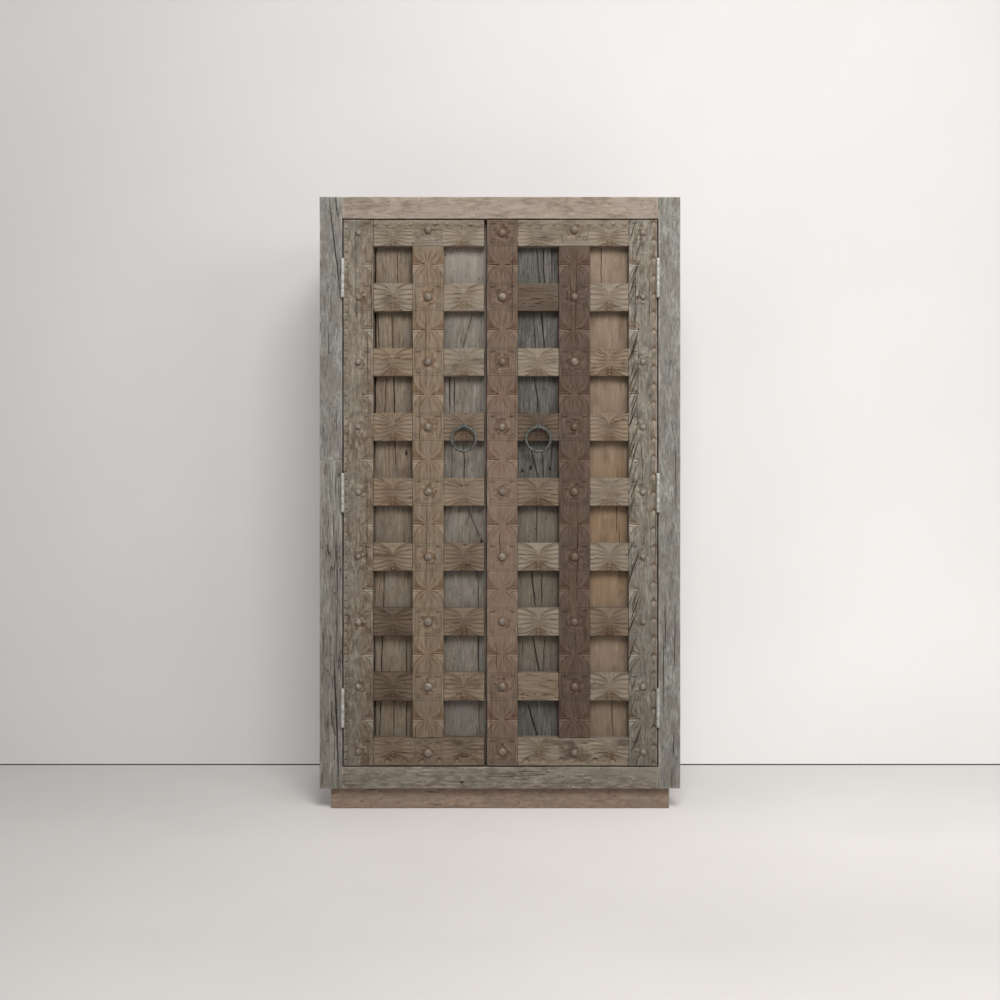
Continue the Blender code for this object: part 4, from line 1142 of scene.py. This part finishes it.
def dress_frame():
    """The five timbers of the face frame."""
    low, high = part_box("left_stile_upper")
    top = high.z
    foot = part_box("right_stile")[0].z
    back = high.y
    frame_boards = [
        ("left_stile_upper", (low.x, FRONT, SPLICE), (FRAME_LEFT, back, top), "silvered_stile_timber", "z"),
        ("left_stile_lower", (low.x, FRONT, foot), (FRAME_LEFT, back, SPLICE), "cracked_stile_timber", "z"),
        ("right_stile", (FRAME_RIGHT, FRONT, foot), (-low.x, back, top), "silvered_stile_timber", "z"),
        ("head_rail", (FRAME_LEFT, FRONT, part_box("head_rail")[0].z), (FRAME_RIGHT, back, top),
         "bleached_rail_timber", "x"),
        ("sill_rail", (FRAME_LEFT, FRONT, foot), (FRAME_RIGHT, back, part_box("sill_rail")[1].z),
         "greyed_sill_timber", "x"),
    ]
    for seed, (node, first, second, tone, grain) in enumerate(frame_boards, FRAME_SEED):
        length = max(second[2] - first[2], second[0] - first[0])
        width = min(second[2] - first[2], second[0] - first[0])
        cracks, holes = known_flaws(node, first, grain)
        count = FRAME_SPLITS.get(node, PLAIN_FRAME_SPLITS)
        piece = board(f"{node}_timber", first, second, "front", tone, grain, seed,
                      splits=cracks + random_splits(count, width, length, seed), holes=holes,
                      rough=0.7 if node == "head_rail" else 1.2, lumps=0.15, edge=RUBBED_EDGE["frame"])
        fit(piece, "case", SLOTS[node], node)


def dress_plinth():
    """The four boards of the plinth."""
    for seed, (node, face, grain) in enumerate(PLINTH_BOARDS, PLINTH_SEED):
        first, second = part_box(node)
        piece = board(f"{node}_timber", first, second, face, "plinth_timber", grain, seed,
                      splits=random_splits(3, second.z - first.z, PLINTH_SPLIT_RUN, seed), lumps=0.15,
                      edge=RUBBED_EDGE["plinth"])
        fit(piece, "case", SLOTS[node], node)


def dress_wall(node, face, across, count, seed, tone):
    """A wall of the case made of boards set edge to edge."""
    low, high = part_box(node)
    axis = "xyz".index(across)
    grain = "x" if face == "top" else "z"
    width = (high[axis] - low[axis]) / count
    parts = []
    for index in range(count):
        first = low.copy()
        second = high.copy()
        first[axis] = low[axis] + width * index + WALL_HALF_GAP
        second[axis] = low[axis] + width * (index + 1) - WALL_HALF_GAP
        length = (second.x - first.x) if face == "top" else (second.z - first.z)
        parts.append(board(f"{node}_{index}", first, second, face, tone, grain, seed + index, INSIDE_STEPS,
                           splits=random_splits(5, width, length, seed + index), rough=1.4))
    fit(join(f"{node}_planks", parts), "case", SLOTS[node], node)


def dress_inside():
    """The floor of the case and its shelves, as far as they show between the sides."""
    for seed, node in enumerate(INSIDE_BOARDS, INSIDE_SEED):
        first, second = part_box(node)
        first.x = max(first.x, -INSIDE)
        second.x = min(second.x, INSIDE)
        piece = board(f"{node}_timber", first, second, "top", "inside_timber", "x", seed, INSIDE_STEPS,
                      splits=random_splits(3, second.y - first.y, second.x - first.x, seed))
        fit(piece, "case", SLOTS[node], node)


def dress_case():
    """Every timber of the case."""
    dress_frame()
    dress_plinth()
    for wall in WALLS:
        dress_wall(*wall)
    dress_inside()


# Hinges, rings and their eyes.
KNUCKLES = 5
KNUCKLE_GAP = 0.4 * MM
KNUCKLE_RADIUS = 5 * MM
KNUCKLE_ROUNDING = 0.5 * MM
LEAF_OFFSET = 2.6 * MM
LEAF_THICKNESS = 2.2 * MM
LEAF_SETBACK = 0.2 * MM
LEAF_ROUNDING = 0.4 * MM
TAB_LAP = 1 * MM
TAB_ROUNDING = 0.3 * MM
PIN_END_RADIUS = 3.2 * MM
PIN_END_HEIGHT = 0.6 * MM
# How deep a pin's end or a screw is rooted.
ROOT = 1 * MM
SCREW_RADIUS = 3.6 * MM
SCREW_HEIGHT = 0.35 * MM
SCREW_ROUNDING = 0.25 * MM
# Where the screws sit: shares of the leaf's height, and how far behind its middle.
SCREW_SHARES = (0.18, 0.5, 0.82)
SCREW_SETBACK = 2 * MM
EYE_RADIUS = 7.7 * MM
EYE_WIRE = 2.5 * MM
ROSE_RADIUS = 9.5 * MM
ROSE_ROOT = 1.7 * MM
ROSE_HEIGHT = 0.3 * MM
ROSE_ROUNDING = 0.8 * MM
# How far the hammer has flattened the wire, as a share of its radius.
RING_HAMMERING = 0.07
EYE_HAMMERING = 0.04


def soften(piece, width, metal):
    """Rounds a metal piece's edges and gives it its metal."""
    rounding = piece.modifiers.new("soften", "BEVEL")
    rounding.width = width
    rounding.segments = 2
    rounding.angle_limit = math.radians(40)
    bpy.ops.object.modifier_apply(modifier="soften")
    piece.data.materials.append(metal)
    smooth(piece, 50)
    return piece


def rod(name, start, end, radius, rounding, metal):
    """A round bar between two points, with softened ends."""
    start, end = Vector(start), Vector(end)
    clear_selection()
    turn = (end - start).to_track_quat("Z", "Y").to_euler()
    bpy.ops.mesh.primitive_cylinder_add(vertices=32, radius=radius, depth=(end - start).length,
                                        location=(start + end) / 2, rotation=turn)
    piece = bpy.context.object
    piece.name = name
    apply_place()
    return soften(piece, rounding, metal)


def plate(name, low, high, rounding, metal):
    """A flat bar between two corners, with softened edges."""
    low, high = Vector(low), Vector(high)
    clear_selection()
    bpy.ops.mesh.primitive_cube_add(size=1, location=(low + high) / 2)
    piece = bpy.context.object
    piece.name = name
    piece.scale = high - low
    apply_place()
    return soften(piece, rounding, metal)


def hinge_leaf(node, body, pin, side, own, has_pin):
    """One leaf of a butt hinge: a plate let into the timber, its knuckles, and three screws."""
    low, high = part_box(node)
    pitch = (high.z - low.z) / KNUCKLES
    leaf_x = pin.x + side * LEAF_OFFSET
    near, far = sorted((leaf_x - LEAF_THICKNESS / 2, leaf_x + LEAF_THICKNESS / 2))
    parts = [plate(f"{node}_plate", (near, FRONT + LEAF_SETBACK, low.z), (far, high.y, high.z),
                   LEAF_ROUNDING, HINGE_STEEL)]
    for index in own:
        bottom = low.z + pitch * index + KNUCKLE_GAP / 2
        top = bottom + pitch - KNUCKLE_GAP
        parts.append(rod(f"{node}_knuckle", (pin.x, pin.y, bottom), (pin.x, pin.y, top),
                         KNUCKLE_RADIUS, KNUCKLE_ROUNDING, HINGE_STEEL))
        parts.append(plate(f"{node}_tab", (near, pin.y, bottom), (far, FRONT + TAB_LAP, top),
                           TAB_ROUNDING, HINGE_STEEL))
    if has_pin:
        for z, out in ((low.z, -1), (high.z, 1)):
            root = (pin.x, pin.y, z - out * ROOT)
            tip = (pin.x, pin.y, z + out * PIN_END_HEIGHT)
            parts.append(rod(f"{node}_pin_end", root, tip, PIN_END_RADIUS, KNUCKLE_ROUNDING, HINGE_STEEL))
    inner = far if side < 0 else near
    towards = Vector((-side, 0, 0))
    for share in SCREW_SHARES:
        place = Vector((inner, (FRONT + high.y) / 2 + SCREW_SETBACK, low.z + share * (high.z - low.z)))
        parts.append(rod(f"{node}_screw", place - towards * ROOT, place + towards * SCREW_HEIGHT,
                         SCREW_RADIUS, SCREW_ROUNDING, STUD_IRON))
    fit(join(f"{node}_steel", parts), body, SLOTS[node], node)


def dress_hinges(door):
    """Three butt hinges: the frame's leaf has the outer and middle knuckles and the pin."""
    pin = JOINT_PLACES[f"{door}_door_hinge"]
    case_side = -1 if door == "left" else 1
    for level in ("upper", "middle", "lower"):
        label = f"{door}_{level}_hinge"
        hinge_leaf(f"{label}_frame_leaf", "case", pin, case_side, range(0, KNUCKLES, 2), True)
        hinge_leaf(f"{label}_door_leaf", f"{door}_door", pin, -case_side, range(1, KNUCKLES, 2), False)


def wire_ring(name, centre, radius, wire, turn, hammer, seed):
    """A closed ring of forged wire, with flats from the hammer round it."""
    clear_selection()
    bpy.ops.mesh.primitive_torus_add(major_segments=120, minor_segments=24, major_radius=radius,
                                     minor_radius=wire)
    piece = bpy.context.object
    piece.name = name
    for point in piece.data.vertices:
        flat = Vector((point.co.x, point.co.y, 0))
        core = flat.normalized() * radius
        angle = math.atan2(point.co.y, point.co.x)
        round_wire = math.atan2(point.co.z, flat.length - radius)
        dent = float(noise(np.array([angle * 3.2]), np.array([round_wire * 1.1]), seed)[0])
        facet = abs(math.sin(8 * angle + seed))
        point.co = core + (point.co - core) * (1 - hammer + hammer * (0.5 * dent - 0.5 * facet))
    piece.rotation_euler = turn
    piece.location = centre
    apply_place()
    piece.data.materials.append(RING_IRON)
    smooth(piece, 60)
    return piece


def dress_ring(side, seed):
    """The ring of one pull, and the eye on its rose that holds it."""
    node = f"{side}_ring"
    low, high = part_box(node)
    wire = (high.y - low.y) / 2
    radius = (high.x - low.x) / 2 - wire
    ring = wire_ring(f"{side}_ring_iron", (low + high) / 2, radius, wire, (math.pi / 2, 0, 0),
                     RING_HAMMERING, seed)
    fit(ring, node, SLOTS[node], node)
    eye = f"{side}_ring_eye"
    low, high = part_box(eye)
    centre = Vector(((low.x + high.x) / 2, low.y + EYE_RADIUS + EYE_WIRE, (low.z + high.z) / 2))
    loop = wire_ring(f"{eye}_loop", centre, EYE_RADIUS, EYE_WIRE, (0, math.pi / 2, 0), EYE_HAMMERING,
                     seed + 1)
    rose = rod(f"{eye}_rose", (centre.x, FRONT + ROSE_ROOT, centre.z),
               (centre.x, FRONT - ROSE_HEIGHT, centre.z), ROSE_RADIUS, ROSE_ROUNDING, RING_IRON)
    fit(join(f"{eye}_iron", [rose, loop]), f"{side}_door", SLOTS[eye], eye)


# Floor, wall, light and camera.
PLASTER_CLOUD = 625 * MM


def plaster(name, colour, spread, left_shade=0.0, glow=0.0, painted_light=0.0, axis="Z", near=0.0, far=1.0,
            rise=(-0.1, 0.5)):
    """Smooth pale plaster or screed, a little cloudy, with shade painted on it that greys it towards the left
    by a given share, and lit up evenly by glow. To the camera it has light painted on it towards its right,
    where x rises, by a given amount at near and by nothing at far along an axis."""
    made, tree, shader, places = new_finish(name)
    clouds = add_node(tree, "ShaderNodeTexNoise", {"Vector": places, "Scale": 1 / PLASTER_CLOUD,
                                                   "Detail": 5.0}).outputs["Fac"]
    low = tuple(c * (1 - spread) for c in linear(colour)[:3]) + (1.0,)
    tone = add_node(tree, "ShaderNodeValToRGB", {"Fac": clouds},
                    [(0.3, low), (0.7, linear(colour))]).outputs["Color"]
    along = add_node(tree, "ShaderNodeSeparateXYZ", {0: places}).outputs
    # Painted shade: darker towards the left.
    shade = add_node(tree, "ShaderNodeMapRange", {"Value": along["X"], "From Min": -1.6, "From Max": 1.2,
                                                  "To Min": 1 - left_shade, "To Max": 1.0}).outputs[0]
    tone = add_node(tree, "ShaderNodeMix", {0: 1.0, 6: tone, 7: shade}, data_type="RGBA",
                    blend_type="MULTIPLY").outputs[2]
    tree.links.new(tone, shader.inputs["Base Color"])
    tree.links.new(tone, shader.inputs["Emission Color"])
    shader.inputs["Emission Strength"].default_value = glow
    # Painted light towards the right, seen by the camera only.
    if painted_light:
        right = add_node(tree, "ShaderNodeMapRange",
                         {"Value": along["X"], "From Min": rise[0], "From Max": rise[1],
                          "To Min": 0.0, "To Max": painted_light}).outputs[0]
        level = add_node(tree, "ShaderNodeMapRange",
                         {"Value": along[axis], "From Min": near, "From Max": far,
                          "To Min": 1.0, "To Max": 0.0}).outputs[0]
        seen = add_node(tree, "ShaderNodeLightPath").outputs["Is Camera Ray"]
        level = add_node(tree, "ShaderNodeMath", {0: level, 1: right}, operation="MULTIPLY").outputs[0]
        level = add_node(tree, "ShaderNodeMath", {0: level, 1: glow}, operation="ADD").outputs[0]
        level = add_node(tree, "ShaderNodeMath", {0: level, 1: seen}, operation="MULTIPLY").outputs[0]
        tree.links.new(level, shader.inputs["Emission Strength"])
    shader.inputs["Roughness"].default_value = 0.85
    shader.inputs["Specular IOR Level"].default_value = 0.2
    return made


def stand_behind(piece):
    """Makes a backdrop show only to a camera in front of it, so that it hides nothing in other views."""
    finish = piece.data.materials[0]
    tree = finish.node_tree
    seen = add_node(tree, "ShaderNodeLightPath").outputs["Is Camera Ray"]
    behind = add_node(tree, "ShaderNodeNewGeometry").outputs["Backfacing"]
    ahead = add_node(tree, "ShaderNodeMath", {0: 1.0, 1: behind}, operation="SUBTRACT").outputs[0]
    shown = add_node(tree, "ShaderNodeMath", {0: seen, 1: ahead}, operation="MULTIPLY").outputs[0]
    clear = add_node(tree, "ShaderNodeBsdfTransparent").outputs[0]
    shader = tree.nodes["Principled BSDF"].outputs[0]
    mixed = add_node(tree, "ShaderNodeMixShader", {0: shown, 1: clear, 2: shader}).outputs[0]
    tree.links.new(mixed, tree.nodes["Material Output"].inputs["Surface"])


STAGE = ("floor", "wall", "floor_shadow_line")
STAGE_SIZE = 16
SHADOW_LINE_HEIGHT = 8 * MM
SHADOW_LINE_BEFORE_WALL = 2 * MM


def stage_sheet(name, place, tilt):
    """One large flat sheet of the stage, turned up by its tilt."""
    clear_selection()
    bpy.ops.mesh.primitive_plane_add(size=STAGE_SIZE, location=place, rotation=(tilt, 0, 0))
    sheet = bpy.context.object
    sheet.name = name
    return sheet


def dress_stage():
    """The floor, the wall behind the case and a dark strip between them, painted as the shadow line where
    they meet.
    """
    floor = stage_sheet("floor", (0, 0, 0), 0)
    # The screed has painted shade to the left and painted light on the right near the wall.
    floor.data.materials.append(plaster("pale_screed", "#e8e4e1", 0.06, 0.14, painted_light=0.26, axis="Y",
                                        near=FRONT - 0.3, far=FRONT - 0.95, rise=(-1.9, 1.4)))
    wall_y = FRONT + WALL_BEHIND_FRONT
    wall = stage_sheet("wall", (0, wall_y, STAGE_SIZE / 2), math.pi / 2)
    apply_place()
    # The plaster has painted shade to the left and painted light to the right, most low down.
    wall.data.materials.append(plaster("pale_plaster", "#d3d0ce", 0.04, 0.17, 0.27, painted_light=0.22,
                                       near=0.3, far=1.6))
    stand_behind(wall)
    # A dark strip, painted shadow along the foot of the wall.
    joint = stage_sheet("floor_shadow_line", (0, wall_y - SHADOW_LINE_BEFORE_WALL, 0), math.pi / 2)
    joint.scale = (1, SHADOW_LINE_HEIGHT / STAGE_SIZE, 1)
    apply_place()
    joint.data.materials.append(plaster("painted_shadow_line", "#4b4641", 0.1))
    stand_behind(joint)


# Each light's place, the point that it is aimed at, its size and its power in watts.
CASE_FRONT = (0, FRONT, 0.8)
CASE_BACK = (0, FRONT + 0.4, 0.8)
ROOM_LIGHTS = {
    "ceiling_light": ((0.4, FRONT - 2.7, 3.2), CASE_FRONT, 1.4, 97),
    "side_light": ((2.2, FRONT - 2.6, 2.0), CASE_FRONT, 1.2, 25),
}
BACK_LIGHTS = {
    "back_light_1": ((-2.3, FRONT + 3.4, 2.4), CASE_BACK, 1.4, 36),
    "back_light_3": ((2.3, FRONT + 3.4, 2.4), CASE_BACK, 1.4, 36),
}
# How strong the room's light is on surfaces, and where the room itself is seen.
ROOM_GLOW = 0.32
SEEN_GLOW = 0.8


def lamp(name, place, aim, size, power):
    """A soft square light, aimed at a point."""
    light = bpy.data.lights.new(name, "AREA")
    light.shape = "SQUARE"
    light.size = size
    light.energy = power
    thing = bpy.data.objects.new(name, light)
    thing.location = place
    thing.rotation_euler = (Vector(aim) - Vector(place)).to_track_quat("-Z", "Y").to_euler()
    bpy.context.scene.collection.objects.link(thing)
    return thing


def light_back():
    """Two soft lights behind the case. They light the object alone, so that the floor keeps one shadow."""
    lit = bpy.data.collections.new("lit_from_behind")
    for thing in bpy.context.scene.objects:
        if thing.type == "MESH" and thing.name not in STAGE:
            lit.objects.link(thing)
    for name, settings in BACK_LIGHTS.items():
        light = lamp(name, *settings)
        light.light_linking.receiver_collection = lit


def light_room():
    """The lights before the case, and a pale room all round."""
    for name, settings in ROOM_LIGHTS.items():
        lamp(name, *settings)
    world = bpy.data.worlds.new("room")
    world.use_nodes = True
    tree = world.node_tree
    back = tree.nodes["Background"]
    path = add_node(tree, "ShaderNodeLightPath").outputs
    seen = add_node(tree, "ShaderNodeMath", {0: path["Is Camera Ray"], 1: path["Is Glossy Ray"]},
                    operation="MAXIMUM").outputs[0]
    seen = add_node(tree, "ShaderNodeMath", {0: seen, 1: path["Is Transmission Ray"]},
                    operation="MAXIMUM").outputs[0]
    level = add_node(tree, "ShaderNodeMapRange", {"Value": seen, "To Min": ROOM_GLOW,
                                                  "To Max": SEEN_GLOW}).outputs[0]
    back.inputs["Color"].default_value = linear("#fdfbf8")
    tree.links.new(level, back.inputs["Strength"])
    bpy.context.scene.world = world


def set_camera():
    """A camera square to the front, framed as the photograph is."""
    data = bpy.data.cameras.new("camera")
    data.sensor_width = SENSOR_MM
    data.lens = SENSOR_MM * PIXELS_PER_METRE * CAMERA_DISTANCE / IMAGE_PIXELS
    camera = bpy.data.objects.new("camera", data)
    camera.location = (0, FRONT - CAMERA_DISTANCE, CAMERA_HEIGHT)
    camera.rotation_euler = (math.pi / 2, 0, 0)
    bpy.context.scene.collection.objects.link(camera)
    bpy.context.scene.camera = camera
    bpy.context.scene.view_settings.view_transform = "Standard"


set_camera()
dress_stage()
light_room()
dress_case()
dress_door("left", 100)
dress_door("right", 1100)
dress_hinges("left")
dress_hinges("right")
dress_ring("left", 11)
dress_ring("right", 17)
light_back()
